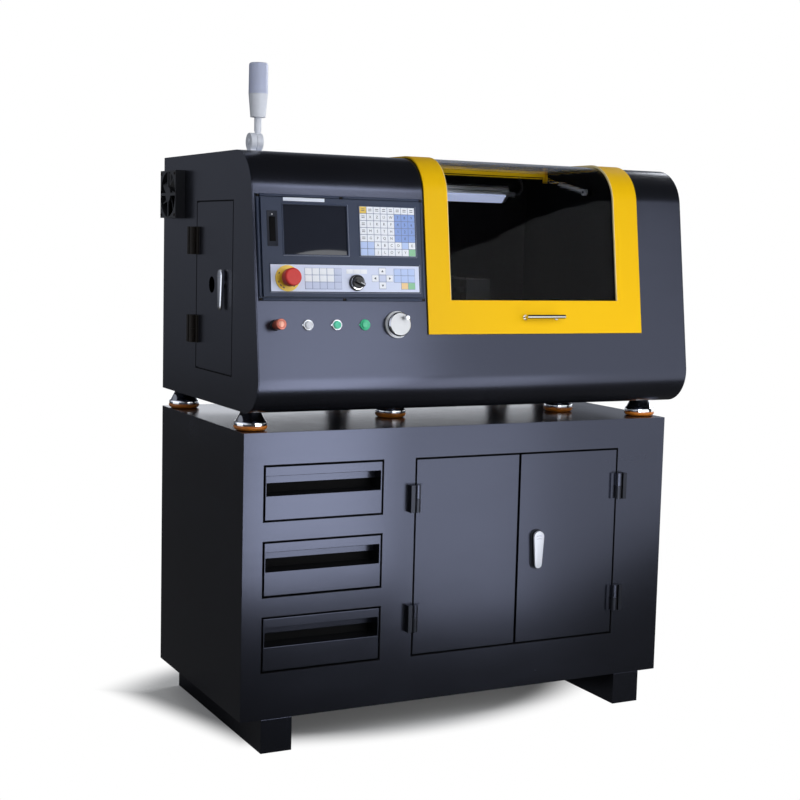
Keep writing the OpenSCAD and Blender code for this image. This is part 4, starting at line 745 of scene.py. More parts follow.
@dataclass
class Studio:
    """Camera, floor and plain soft light, in metres."""

    eye: Place = (-1.83490, -3.46307, 1.22641)
    yaw: float = 27.17
    pitch: float = 6.11
    roll: float = 1.43
    lens: float = 67.38
    sensor: float = 36.0
    ambient: float = 0.5
    overhead: float = 0.24
    dim: float = 0.038
    overhead_ramp: Pair = (1.0, -0.2)
    zones: Sequence[tuple[float, Sequence[tuple[str, float, float]]]] = (
        (0.35, (("X", -0.3, 0.15), ("Y", -0.1, 0.35), ("Z", 0.75, 0.3))),
        (0.25, (("X", -0.18, -0.32), ("Z", -0.24, 0.02))),
        (0.9, (("X", -0.45, -0.8),)),
    )
    cool: Colour = (0.82, 0.87, 1.0)
    floor_radius: float = 9.0
    floor_sides: int = 96
    floor_drop: float = 0.0004
    floor_tone: Colour = (0.8, 0.8, 0.8)
    floor_in_gloss: Colour = (0.05, 0.05, 0.053)
    floor_glow_in_gloss: float = 0.05
    shadow_lift: float = 0.055
    shadow_middle: Pair = (-0.1, 0.17)
    shadow_reach: Pair = (0.76, 0.46)
    shadow_fade: Pair = (0.74, 1.02)
    wedge_across: Place = (-0.956, -0.295, 0.0)
    wedge_fade: Pair = (0.5, 0.61)
    lights: Sequence[Softbox] = (
        Softbox("key_low", (0.0, -1.2, 0.5), (0.54, 0.69), 4.9, lights=False),
        Softbox("key_high", (-0.015, -1.2, 1.125), (0.66, 0.55), 3.15),
        Softbox("key_round", (0.02, -1.2, 1.342), (0.42, 0.2), 3.0, lights=False, shape="ELLIPSE"),
        Softbox("key_strip", (0.08, -1.2, 1.71), (0.7, 0.16), 6.5, lights=False),
        Softbox("door_softbox", (0.58, -1.2, 0.38), (0.5, 0.74), 2.35),
        Softbox("fill_softbox", (1.034, -1.2, 0.872), (1.26, 1.46), 1.25, turn=19.5),
        Softbox("back_softbox", (0.45, 1.6, 0.66), (1.9, 1.2), 1.2, lights=False),
        Softbox("side_softbox_right", (2.0, 0.3, 0.66), (1.7, 1.2), 1.1, (0.0, 0.3, 0.66), lights=False),
        Softbox("side_softbox_left", (-2.2, 0.2, 0.66), (1.7, 1.2), 0.8, (0.0, 0.2, 0.66), lights=False),
        Softbox("top_softbox", (-0.8, 0.9, 3.0), (0.8, 1.6), 0.9, (-0.8, 0.9, 0.0), lights=False),
        Softbox("front_fill", (-0.2, -2.7, 2.2), (1.2, 1.2), 4.0, (0.0, 0.0, 1.1), shows=False),
        Softbox("right_softbox", (2.6, 0.9, 2.4), (1.3, 1.3), 6.5, (0.0, 0.0, 0.5)),
    )

    def build(self) -> None:
        """Sets up the whole studio."""
        bpy.context.scene.view_settings.view_transform = "Standard"
        self._camera()
        self._world()
        self._floor()
        for light in self.lights:
            light.build()

    def _camera(self) -> None:
        """Puts the camera where the photograph was taken."""
        yaw, pitch, roll = (math.radians(a) for a in (self.yaw, self.pitch, self.roll))
        ahead = Vector((math.sin(yaw) * math.cos(pitch), math.cos(yaw) * math.cos(pitch), -math.sin(pitch)))
        level = Vector((math.cos(yaw), -math.sin(yaw), 0.0))
        up = level.cross(ahead)
        right = math.cos(roll) * level + math.sin(roll) * up
        top = -math.sin(roll) * level + math.cos(roll) * up
        data = bpy.data.cameras.new("camera")
        data.lens, data.sensor_width = self.lens, self.sensor
        camera = bpy.data.objects.new("camera", data)
        turn = Matrix((right, top, -ahead)).transposed().to_4x4()
        camera.matrix_world = Matrix.Translation(Vector(self.eye)) @ turn
        bpy.context.scene.collection.objects.link(camera)
        bpy.context.scene.camera = camera

    def _world(self) -> None:
        """Makes a room that is dim in reflections except in soft zones, and shows white to the camera."""
        world = bpy.data.worlds.new("white_room")
        bpy.context.scene.world = world
        world.use_nodes = True
        tree = world.node_tree
        nodes, link = tree.nodes, tree.links.new
        ambient = settle(nodes["Background"], {"Color": (*DAYLIGHT, 1.0)})
        shown, mixed, path = (nodes.new(f"ShaderNode{n}") for n in ("Background", "MixShader", "LightPath"))
        camera, glossy, through = (path.outputs[f"Is {n} Ray"] for n in ("Camera", "Glossy", "Transmission"))
        link(blend(tree, camera, self.cool, (1.0, 1.0, 1.0)), shown.inputs["Color"])
        where, axes = nodes.new("ShaderNodeTexCoord"), nodes.new("ShaderNodeSeparateXYZ")
        link(where.outputs["Generated"], axes.inputs["Vector"])
        rise = ramp(tree, axes.outputs["Z"], *self.overhead_ramp)
        overhead = calc(tree, "MULTIPLY", rise, self.ambient - self.overhead)
        link(calc(tree, "ADD", overhead, self.overhead), ambient.inputs["Strength"])
        level = calc(tree, "MAXIMUM", camera, self.dim)
        for strength, ramps in self.zones:
            zone, *others = (ramp(tree, axes.outputs[axis], start, end) for axis, start, end in ramps)
            for other in others:
                zone = calc(tree, "MULTIPLY", zone, other)
            level = calc(tree, "MAXIMUM", level, calc(tree, "MULTIPLY", zone, strength))
        link(level, shown.inputs["Strength"])
        link(calc(tree, "MAXIMUM", calc(tree, "MAXIMUM", camera, glossy), through), mixed.inputs["Fac"])
        link(ambient.outputs[0], mixed.inputs[1])
        link(shown.outputs[0], mixed.inputs[2])
        link(mixed.outputs[0], nodes["World Output"].inputs["Surface"])

    def _floor(self) -> None:
        """Makes a pale floor that keeps the shadow and fades into the white room."""
        floor = Workshop.added("floor", bpy.ops.mesh.primitive_circle_add, vertices=self.floor_sides,
                               radius=self.floor_radius, fill_type="NGON", location=(0, 0, -self.floor_drop))
        paper = bpy.data.materials.new("floor_paper")
        paper.use_nodes = True
        tree = paper.node_tree
        nodes, link = tree.nodes, tree.links.new
        nodes.remove(nodes["Principled BSDF"])
        matt, lift, white, add, fade, path, where, drawn = (nodes.new(f"ShaderNode{n}") for n in (
            "BsdfDiffuse", "Emission", "Emission", "AddShader", "MixShader", "LightPath", "TexCoord", "Mapping"))
        glossy, place = path.outputs["Is Glossy Ray"], where.outputs["Object"]
        link(blend(tree, glossy, self.floor_tone, self.floor_in_gloss), matt.inputs["Color"])
        gloss = calc(tree, "MULTIPLY", glossy, self.floor_glow_in_gloss)
        seen = calc(tree, "MAXIMUM", path.outputs["Is Camera Ray"], gloss)
        link(calc(tree, "MULTIPLY", seen, self.shadow_lift), lift.inputs["Strength"])
        link(seen, white.inputs["Strength"])
        across, deep = self.shadow_reach
        settle(drawn, {"Scale": (1.0 / across, 1.0 / deep, 1.0)})
        link(place, drawn.inputs["Vector"])
        middle = (self.shadow_middle[0] / across, self.shadow_middle[1] / deep, 0.0)
        oval = ramp(tree, measure(tree, "DISTANCE", drawn.outputs["Vector"], middle), *self.shadow_fade, "SMOOTHSTEP")
        wedge = ramp(tree, measure(tree, "DOT_PRODUCT", place, self.wedge_across), *self.wedge_fade, "SMOOTHSTEP")
        link(calc(tree, "MAXIMUM", oval, wedge), fade.inputs["Fac"])
        link(matt.outputs[0], add.inputs[0])
        link(lift.outputs[0], add.inputs[1])
        link(add.outputs[0], fade.inputs[1])
        link(white.outputs[0], fade.inputs[2])
        link(fade.outputs[0], nodes["Material Output"].inputs["Surface"])
        floor.data.materials.append(paper)


@dataclass
class LampCable:
    """The work lamp's cable: out of the gland, round in a loop and up into the casing's top."""

    exit: Place = (989.0, 464.0, 1362.0)
    route: Profile = ((-14, 0), (0, 0), (14, 2), (25, 16), (23, 35), (15, 49), (12, 59), (12, 71))
    steps: int = 6
    diameter: float = 6.0

    def points(self) -> list[Vector]:
        """Gives the points of the smooth route from the gland to the casing's top."""
        line = [Vector(p) for p in self.route]
        found = []
        for a, b, c, d in zip(line, line[1:], line[2:], line[3:]):
            for k in range(self.steps):
                u = k / self.steps
                found.append(0.5 * (2 * b + (c - a) * u + (2 * a - 5 * b + 4 * c - d) * u ** 2
                                    + (3 * b - a - 3 * c + d) * u ** 3))
        found.append(line[-2])
        x, y, z = self.exit
        return [spot(x + p.x, y, z + p.y) for p in found]

    def build(self) -> None:
        points = self.points()
        data = bpy.data.curves.new("work_lamp_cable", "CURVE")
        data.dimensions, data.bevel_depth, data.bevel_resolution = "3D", self.diameter * MM / 2, 5
        data.use_fill_caps = True
        spline = data.splines.new("POLY")
        spline.points.add(len(points) - 1)
        for place, p in zip(spline.points, points):
            place.co = (*p, 1.0)
        cable = bpy.data.objects.new("work_lamp_cable", data)
        bpy.context.scene.collection.objects.link(cable)
        data.materials.append(Finishes.BLACK_RUBBER.material())
        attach(cable, "base")
        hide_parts("lamp_cable")


@dataclass
class SolidFinishes:
    """The solids that keep their shape: each with its finish, and rounded edges where light shows them."""

    # Depth behind the drawer fronts from which faces take painted shade.
    recess_shade_depth: float = 44.0
    leaf_x: float = -0.6
    wheel_face: float = -0.9
    rounded: Sequence[tuple[str, str, float, Finish]] = (
        ("cabinet_body", "base", 1.5, Finishes.BLACK_PAINT), ("cabinet_skids", "base", 1.2, Finishes.BLACK_PAINT),
        ("drawer_top", "drawer_top", 1.0, Finishes.BLACK_PAINT),
        ("drawer_middle", "drawer_middle", 1.0, Finishes.BLACK_PAINT),
        ("drawer_bottom", "drawer_bottom", 1.0, Finishes.BLACK_PAINT),
        ("cabinet_door_left", "cabinet_door_left", 1.2, Finishes.BLACK_PAINT),
        ("cabinet_door_right", "cabinet_door_right", 1.2, Finishes.BLACK_PAINT),
        ("cabinet_hinge_leaves", "base", 0.8, Finishes.HINGE_BLACK),
        ("cabinet_lock_plate", "cabinet_door_right", 0.8, Finishes.HINGE_BLACK),
        ("front_wrap", "base", 0.6, Finishes.BLACK_PAINT), ("left_side_plate", "base", 0.8, Finishes.BLACK_PAINT),
        ("right_side_plate", "base", 0.8, Finishes.BLACK_PAINT), ("back_panel", "base", 0.8, Finishes.BLACK_PAINT),
        ("side_door", "side_door", 0.6, Finishes.BLACK_PAINT),
        ("side_hinge_leaves", "base", 0.8, Finishes.DARK_OXIDE), ("fan_frame", "base", 0.8, Finishes.FAN_PLASTIC),
        ("door_frame", "front_door", 0.8, Finishes.YELLOW_PAINT),
        ("door_handle", "front_door", 0.9, Finishes.HANDLE_CHROME),
        ("control_bezel", "base", 0.8, Finishes.SLATE_PAINT), ("estop_plate", "base", 0.5, Finishes.STOP_YELLOW),
        ("estop_button", "estop_button", 0.6, Finishes.STOP_RED), ("handwheel_base", "base", 0.6, Finishes.TURNED),
        ("handwheel", "handwheel", 0.6, Finishes.POLISHED), ("handwheel_grip", "handwheel_grip", 0.8, Finishes.STEEL),
        ("beacon_foot", "base", 1.2, Finishes.GREY_PLASTIC), ("beacon_arm", "beacon", 1.2, Finishes.GREY_PLASTIC),
        ("lamp_body", "base", 0.6, Finishes.ALUMINIUM), ("headstock", "base", 2.0, Finishes.CAST_IRON),
        ("bed", "base", 1.0, Finishes.CAST_IRON), ("carriage", "carriage", 1.5, Finishes.CAST_IRON),
        ("cross_slide", "cross_slide", 1.0, Finishes.IRON), ("tool_blocks", "cross_slide", 1.0, Finishes.TOOL_BLACK),
        ("spindle_motor", "base", 2.0, Finishes.BLACK_PAINT), ("collet_nut", "spindle", 0.8, Finishes.IRON),
    )
    plain: Sequence[tuple[str, Finish]] = (
        ("base_pan", Finishes.BLACK_PAINT), ("work_area_liner", Finishes.LINER_PAINT),
        ("fan_impeller", Finishes.BLACK_PLASTIC), ("door_window", Finishes.WINDOW),
        ("door_hinge_fixed", Finishes.DARK_OXIDE), ("strut_cylinder", Finishes.STRUT_PAINT),
        ("strut_rod", Finishes.STEEL), ("screen", Finishes.SCREEN), ("key_films", Finishes.FILM),
        ("beacon_lens", Finishes.LENS), ("lamp_diffuser", Finishes.DIFFUSER), ("lamp_cable", Finishes.BLACK_RUBBER),
        ("spindle", Finishes.STEEL), ("z_ball_screw", Finishes.STEEL), ("motor_pulley", Finishes.ALUMINIUM),
        ("drive_belt", Finishes.BELT),
    )

    def build(self) -> None:
        """Dresses every solid."""
        for node, body, width, finish in self.rounded:
            Workshop.dress(Workshop.softened(node, width), finish, body, [node])
        lip, leaf = spot(0.0, self.recess_shade_depth, 0.0).y, spot(self.leaf_x, 0.0, 0.0).x
        # Faces deep in the drawer pulls' recesses, and behind them, get the matt black as painted shade.
        for node in ("drawer_top", "drawer_middle", "drawer_bottom"):
            self._second_finish(node, Finishes.BLACK_AND_SHADE, lambda face: face.center.y > lip)
        self._second_finish("side_door", Finishes.DARK_OXIDE, lambda face: face.center.x < leaf)
        self._second_finish("handwheel", Finishes.TURNED, lambda face: face.normal.y < self.wheel_face)
        for node, finish in self.plain:
            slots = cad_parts[node].data.materials
            slots.clear()
            slots.append(finish.material())

    @staticmethod
    def _second_finish(node: str, finish: Finish, chosen: Callable[[bpy.types.MeshPolygon], bool]) -> None:
        """Gives the faces that a test picks on a dressed solid a second finish.

        Args:
            node: Name of the solid.
            finish: The second finish.
            chosen: Test that is true for the faces that take it.
        """
        mesh = bpy.data.objects[f"{node}_finished"].data
        mesh.materials.append(finish.material())
        for face in mesh.polygons:
            if chosen(face):
                face.material_index = 1


@dataclass
class Feet:
    """Eight levelling feet: an orange pad with a tapered lower edge and a chromed dome each."""

    base_z: float = 772.0
    spots: Profile = ((40, 62), (1160, 62), (40, 541), (1160, 541), (486, 215), (486, 541), (1000, 215), (1000, 541))
    pad: Profile = ((0, 0), (31, 0), (36.4, 2.2), (39.3, 5.4), (40, 8), (39.6, 10.2), (38.6, 11), (0, 11))
    dome: Profile = ((0, 11), (37.6, 11), (38.7, 12), (39, 16), (38.7, 20), (37.5, 21.4), (35.2, 22.6), (24.2, 43.5),
                     (22.8, 46), (22.3, 48), (0, 48))

    def build(self) -> None:
        """Turns one pad and one dome, and copies them to every foot."""
        places = [Matrix.Translation(spot(x, y, self.base_z)) for x, y in self.spots]
        for name, profile, finish in (("foot_pads", self.pad, Finishes.ORANGE_PAD),
                                      ("foot_domes", self.dome, Finishes.CHROME)):
            master = Workshop.turned("foot", profile, 72)
            Workshop.dress(Workshop.repeated(f"{name}_turned", master, places), finish, "base", [name])


@dataclass
class LockLevers:
    """The two lock levers: a cast grip that narrows to its tip, on a round spindle with a flat cam."""

    top: float = 16.9
    top_r: float = 15.4
    tip: float = -54.0
    tip_r: float = 10.7
    face: float = 12.0
    crown: float = 1.2
    crown_inset: float = 4.5
    edge: float = 1.8
    under: float = 3.0
    tilt: float = 0.03
    cam_l: float = 26.0
    cam_half: float = 7.0
    cam_top: float = 6.0
    cam_thick: float = 3.0
    steps: int = 18
    mark_ys: Sequence[float] = (20.5, 13.0)
    mark_size: Pair = (16.0, 0.9)
    mark_arch: float = 20.0
    mark_rise: float = 0.06
    cabinet_at: Place = (807.5, 459.0, 3.4)
    cabinet_behind: float = 12.4
    side_at: Place = (-146.0, 1114.0, 0.4)
    side_behind: float = 11.4

    def build(self) -> None:
        """Makes both levers at their locks."""
        for node, at, behind, finish in (
                ("cabinet_lock_lever", CABINET @ moved(*self.cabinet_at), self.cabinet_behind, Finishes.SATIN_ZINC),
                ("side_lock_lever", SIDE @ moved(*self.side_at), self.side_behind, Finishes.POLISHED)):
            lever = Workshop.joined(f"{node}_cast", [self._grip(), self._spindle(behind), self._cam(behind)])
            Workshop.dress(lever, finish, node, [node], at)
            marks = Workshop.joined(f"{node}_marks", [self._mark(y) for y in self.mark_ys])
            Workshop.dress(marks, Finishes.KEY_GRID, node, at=at)

    def _grip(self) -> Piece:
        """Models the grip: an outline with round ends, extruded, crowned and rounded.

        Returns:
            The grip, across X, up Y and outwards along Z.
        """
        outline = []
        for middle, radius, start in ((self.top, self.top_r, 0.0), (self.tip, self.tip_r, math.pi)):
            turns = [start + math.pi * k / self.steps for k in range(self.steps + 1)]
            outline += [(radius * math.cos(a), middle + radius * math.sin(a)) for a in turns]
        grip = Workshop.added("grip", bpy.ops.mesh.primitive_circle_add, vertices=len(outline), radius=1.0,
                              fill_type="NGON")
        for v, (x, y) in zip(grip.data.vertices, outline):
            v.co = Vector((x, y, self.under + self.tilt * (self.top - y))) * MM
        Workshop.thickened(grip, mm(0, 0, 1))
        for v in list(grip.data.vertices)[len(outline):]:
            v.co.z = (self.face - self.crown) * MM
        grip.data.update()
        Workshop.raise_top(grip, self.crown_inset, self.crown)
        Workshop.round_edges(grip, self.edge, 4, 30.0)
        return grip

    def _mark(self, y: float) -> Piece:
        """Models one short arched line across the grip, a hair above its face."""
        line = Workshop.added("line", bpy.ops.mesh.primitive_grid_add, (*mm(*self.mark_size), 1.0), x_subdivisions=12,
                              y_subdivisions=1, size=1.0)
        for v in line.data.vertices:
            v.co.y += y * MM - self.mark_arch * v.co.x ** 2
            v.co.z = (self.face - self.mark_rise) * MM
        Workshop.thickened(line, mm(0, 0, 2 * self.mark_rise))
        return line

    @staticmethod
    def _spindle(behind: float) -> Piece:
        """Turns the hub and the spindle that goes through the sheet."""
        profile = ((0, -behind), (6, -behind), (6, 0), (10.5, 0), (11, 0.6), (11, 5), (0, 5))
        return Workshop.turned("spindle", profile, 40)

    def _cam(self, behind: float) -> Piece:
        """Models the flat cam behind the sheet."""
        low = (-self.cam_half, -self.cam_l, -behind)
        return Workshop.block("cam", low, (self.cam_half, self.cam_top, self.cam_thick - behind), 0.8)


@dataclass
class OpeningGapShade:
    """Thin dark rings along the edges of the openings, on the cabinet's front and on the casing's left side, that paint
    the shade of the gaps.
    """

    width: float = 1.7
    side_width: float = 2.8
    sunk: float = -1.2
    proud: float = 0.12
    cabinet: Sequence[Span] = ((52, 561, 363, 694), (52, 379.5, 363, 512.5), (52, 198, 363, 331),
                               (452, 198, 1051, 694))
    side: Span = (-338, 898, -88, 1307)

    def build(self) -> None:
        """Models a ring for every opening and joins those of the cabinet."""
        for name, openings, width, at in (("cabinet_opening_gap_shade", self.cabinet, self.width, CABINET),
                                          ("side_opening_gap_shade", (self.side,), self.side_width, SIDE)):
            # Each ring paints the shade of the gap round its opening.
            rings = Workshop.joined(name, [self._ring(opening, width) for opening in openings])
            Workshop.dress(rings, Finishes.BLACK_AND_SHADE, "base", at=at)

    def _ring(self, opening: Span, width: float) -> Piece:
        """Models the ring of painted shade around one opening, given by its left, lower, right and upper edge."""
        left, low, right, high = opening
        return Workshop.ring_frame("ring", (left - width, low - width, self.sunk),
                                   (right + width, high + width, self.proud), width, 0.1)


@dataclass
class WindowEdgeHighlight:
    """Painted highlights along the two upright edges of the door's window, up the front and over the bend: narrow cream
    strips that stand in for the lit cut edges.
    """

    xs: Pair = (501.0, 984.0)
    width: float = 1.6
    base: float = 1.6
    heights: Pair = (5.2, 7.6)
    low_t: float = 193.0
    bend_r: float = 100.0
    top: float = 1424.0
    back: float = 343.0
    steps: int = 14

    def _line(self, out: float) -> list[Pair]:
        """Gives the places across and up of a line that follows the casing's outline at a distance outside it.

        Args:
            out: The distance.

        Returns:
            Its points from the lower edge to the back, as depth and height.
        """
        y, z = FRONT_LOW
        sine, cosine = math.sin(LEAN), math.cos(LEAN)
        centre_z = self.top - self.bend_r
        centre_y = y + (self.bend_r + (centre_z - z) * sine) / cosine
        reach = self.bend_r + out
        line = [(y + self.low_t * sine - out * cosine, z + self.low_t * cosine + out * sine)]
        for k in range(self.steps + 1):
            turn = math.pi - LEAN - (math.pi / 2 - LEAN) * k / self.steps
            line.append((centre_y + reach * math.cos(turn), centre_z + reach * math.sin(turn)))
        return line + [(self.back, self.top + out)]

    def build(self) -> None:
        """Models each painted highlight strip as a ribbon, extruded across."""
        lit_strips = []
        inner = self._line(self.base)
        count = len(inner)
        faces = [(k, k + 1, count + k + 1, count + k) for k in range(count - 1)]
        for x, side, height in zip(self.xs, (1.0, -1.0), self.heights):
            mesh = bpy.data.meshes.new("trim")
            mesh.from_pydata([spot(x, y, z) for y, z in inner + self._line(height)], [], faces)
            lit_strips.append(Workshop.linked("trim", mesh))
            Workshop.thickened(lit_strips[-1], mm(side * self.width, 0, 0))
            Workshop.round_edges(lit_strips[-1], 0.5)
        # The joined strips are a painted highlight of the window's lit edges.
        Workshop.dress(Workshop.joined("window_edge_trim", lit_strips), Finishes.EDGE_TRIM, "front_door")


@dataclass
class Keyboard:
    """Raised keys with their signs on the two films of the controller."""

    top: float = 10.2
    thick: float = 0.7
    big_first: Pair = (272.0, 212.75)
    big_pitch: Pair = (18.0, 16.43)
    big_size: Pair = (16.9, 15.3)
    small_size: Pair = (17.2, 15.0)
    sign_size: float = 9.2
    sign_rise: float = 0.12
    mark: Corners = ((-4.2, -0.7, -0.05), (4.2, 0.7, 0.05))
    mark_rises: Pair = (2.2, -1.8)
    sign_edge: float = 0.03
    key_dish: Pair = (0.9, 0.1)
    key_edge: float = 0.4
    key_angle: float = 50.0
    grid_z: Pair = (10.1, 10.5)
    signs: Sequence[str] = ("        ", " XZUW789", " IKRF456", " MSTH123", " GPQN-0.", "  ABCD E", "  JLOVY ")
    tones: Sequence[str] = ("YWWWWWWW", "WWWWWBBB", "WWWWWBBB", "WWWWWBBB", "WWWWWBBB", "SSWWWWSW", "SSWWWWWG")
    small_sets: Sequence[tuple[Sequence[str], Pair, Pair]] = (
        (("WWWWL", "WWWWL", "LLLLL"), (128.2, 67.45), (18.5, 16.2)),
        (("SSS", "SSS", " OG"), (356.6, 68.15), (18.4, 16.4)))
    jog_middle: Pair = (317.0, 52.95)
    jog_pitch: Pair = (18.6, 16.5)
    arrow_r: float = 3.6
    grid: Sequence[Span] = ((263.4, 106.4, 406.6, 220.6),)
    film_grid: Sequence[Span] = (
        (118.8, 26.6, 211.6, 75.6), (347.2, 43.4, 402.8, 76.4), (365.6, 27.0, 402.8, 43.4),
        (307.6, 27.9, 326.4, 78.0), (289.2, 44.7, 307.6, 61.2), (326.4, 44.7, 344.8, 61.2))

    def build(self) -> None:
        """Models one key of each size, copies them to every place and joins the copies by colour."""
        finishes = {"W": Finishes.KEY_WHITE, "B": Finishes.KEY_BLUE, "Y": Finishes.KEY_YELLOW, "G": Finishes.KEY_GREEN,
                    "S": Finishes.KEY_SKY, "L": Finishes.KEY_LAVENDER, "O": Finishes.KEY_ORANGE}
        sets: dict[str, list[Piece]] = {}
        legends: list[Piece] = []
        big, small = self._key(self.big_size), self._key(self.small_size)
        for tones, first, pitch in ((self.tones, self.big_first, self.big_pitch), *self.small_sets):
            for r, row in enumerate(tones):
                for c, tone in enumerate(row):
                    at = (first[0] + c * pitch[0], first[1] - r * pitch[1])
                    if tone != " ":
                        key = big if tones is self.tones else small
                        sets.setdefault(tone, []).append(Workshop.copied(key, "key", moved(*at, self.top)))
                    if tones is self.tones and self.signs[r][c] != " ":
                        legends.append(Workshop.letter(self.signs[r][c], self.sign_size, (*at, self._sign_z())))
        for dx, dt in ((0, 0), (1, 0), (-1, 0), (0, 1), (0, -1)):
            at = (self.jog_middle[0] + dx * self.jog_pitch[0], self.jog_middle[1] + dt * self.jog_pitch[1])
            sets["W" if dx or dt else "L"].append(Workshop.copied(small, "key", moved(*at, self.top)))
            if dx or dt:
                legends.append(self._arrow(at, math.atan2(dt, dx)))
        for name, spans, finish in (("key_grid", self.grid, Finishes.KEY_GRID),
                                    ("film_key_grid", self.film_grid, Finishes.FILM_GRID)):
            under, over = self.grid_z
            plates = [Workshop.block("plate", (a, b, under), (c, d, over), 0.15) for a, b, c, d in spans]
            Workshop.dress(Workshop.joined(name, plates), finish, "base", at=BEZEL)
        for tone, keys in sets.items():
            name = finishes[tone].name.replace("key_", "keys_")
            Workshop.dress(Workshop.joined(name, keys), finishes[tone], "base", at=BEZEL)
        Workshop.dress(Workshop.joined("key_signs", legends + [self._marks()]), Finishes.LEGEND, "base", at=BEZEL)
        for master in (big, small):
            bpy.data.objects.remove(master)

    def _marks(self) -> Piece:
        """Models the short bars that stand for the longer signs of the keys along the top and the left."""
        master = Workshop.block("mark", *self.mark, self.sign_edge)
        x, t = self.big_first
        spots = [(x + c * self.big_pitch[0], t) for c in range(8)]
        spots += [(x, t - r * self.big_pitch[1]) for r in range(1, 5)]
        places = [moved(a, b + rise, self._sign_z()) for a, b in spots for rise in self.mark_rises]
        return Workshop.repeated("marks", master, places)

    def _sign_z(self) -> float:
        """Gives the height of a sign above the front."""
        return self.top + self.thick + self.sign_rise

    def _key(self, size: Pair) -> Piece:
        """Models one raised key around the origin, from its width and height."""
        width, height = size
        key = Workshop.block("key", (-width / 2, -height / 2, 0.0), (width / 2, height / 2, self.thick))
        Workshop.raise_top(key, *self.key_dish)
        Workshop.round_edges(key, self.key_edge, 2, self.key_angle)
        return key

    def _arrow(self, at: Pair, turn: float) -> Piece:
        """Models the arrow of a jog key, pointing along an angle."""
        arrow = Workshop.added("arrow", bpy.ops.mesh.primitive_cylinder_add, vertices=3, radius=self.arrow_r * MM,
                               depth=0.1 * MM, rotation=(0, 0, turn - math.pi / 2), location=mm(*at, self._sign_z()))
        Workshop.round_edges(arrow, self.sign_edge, 1, self.key_angle)
        return arrow


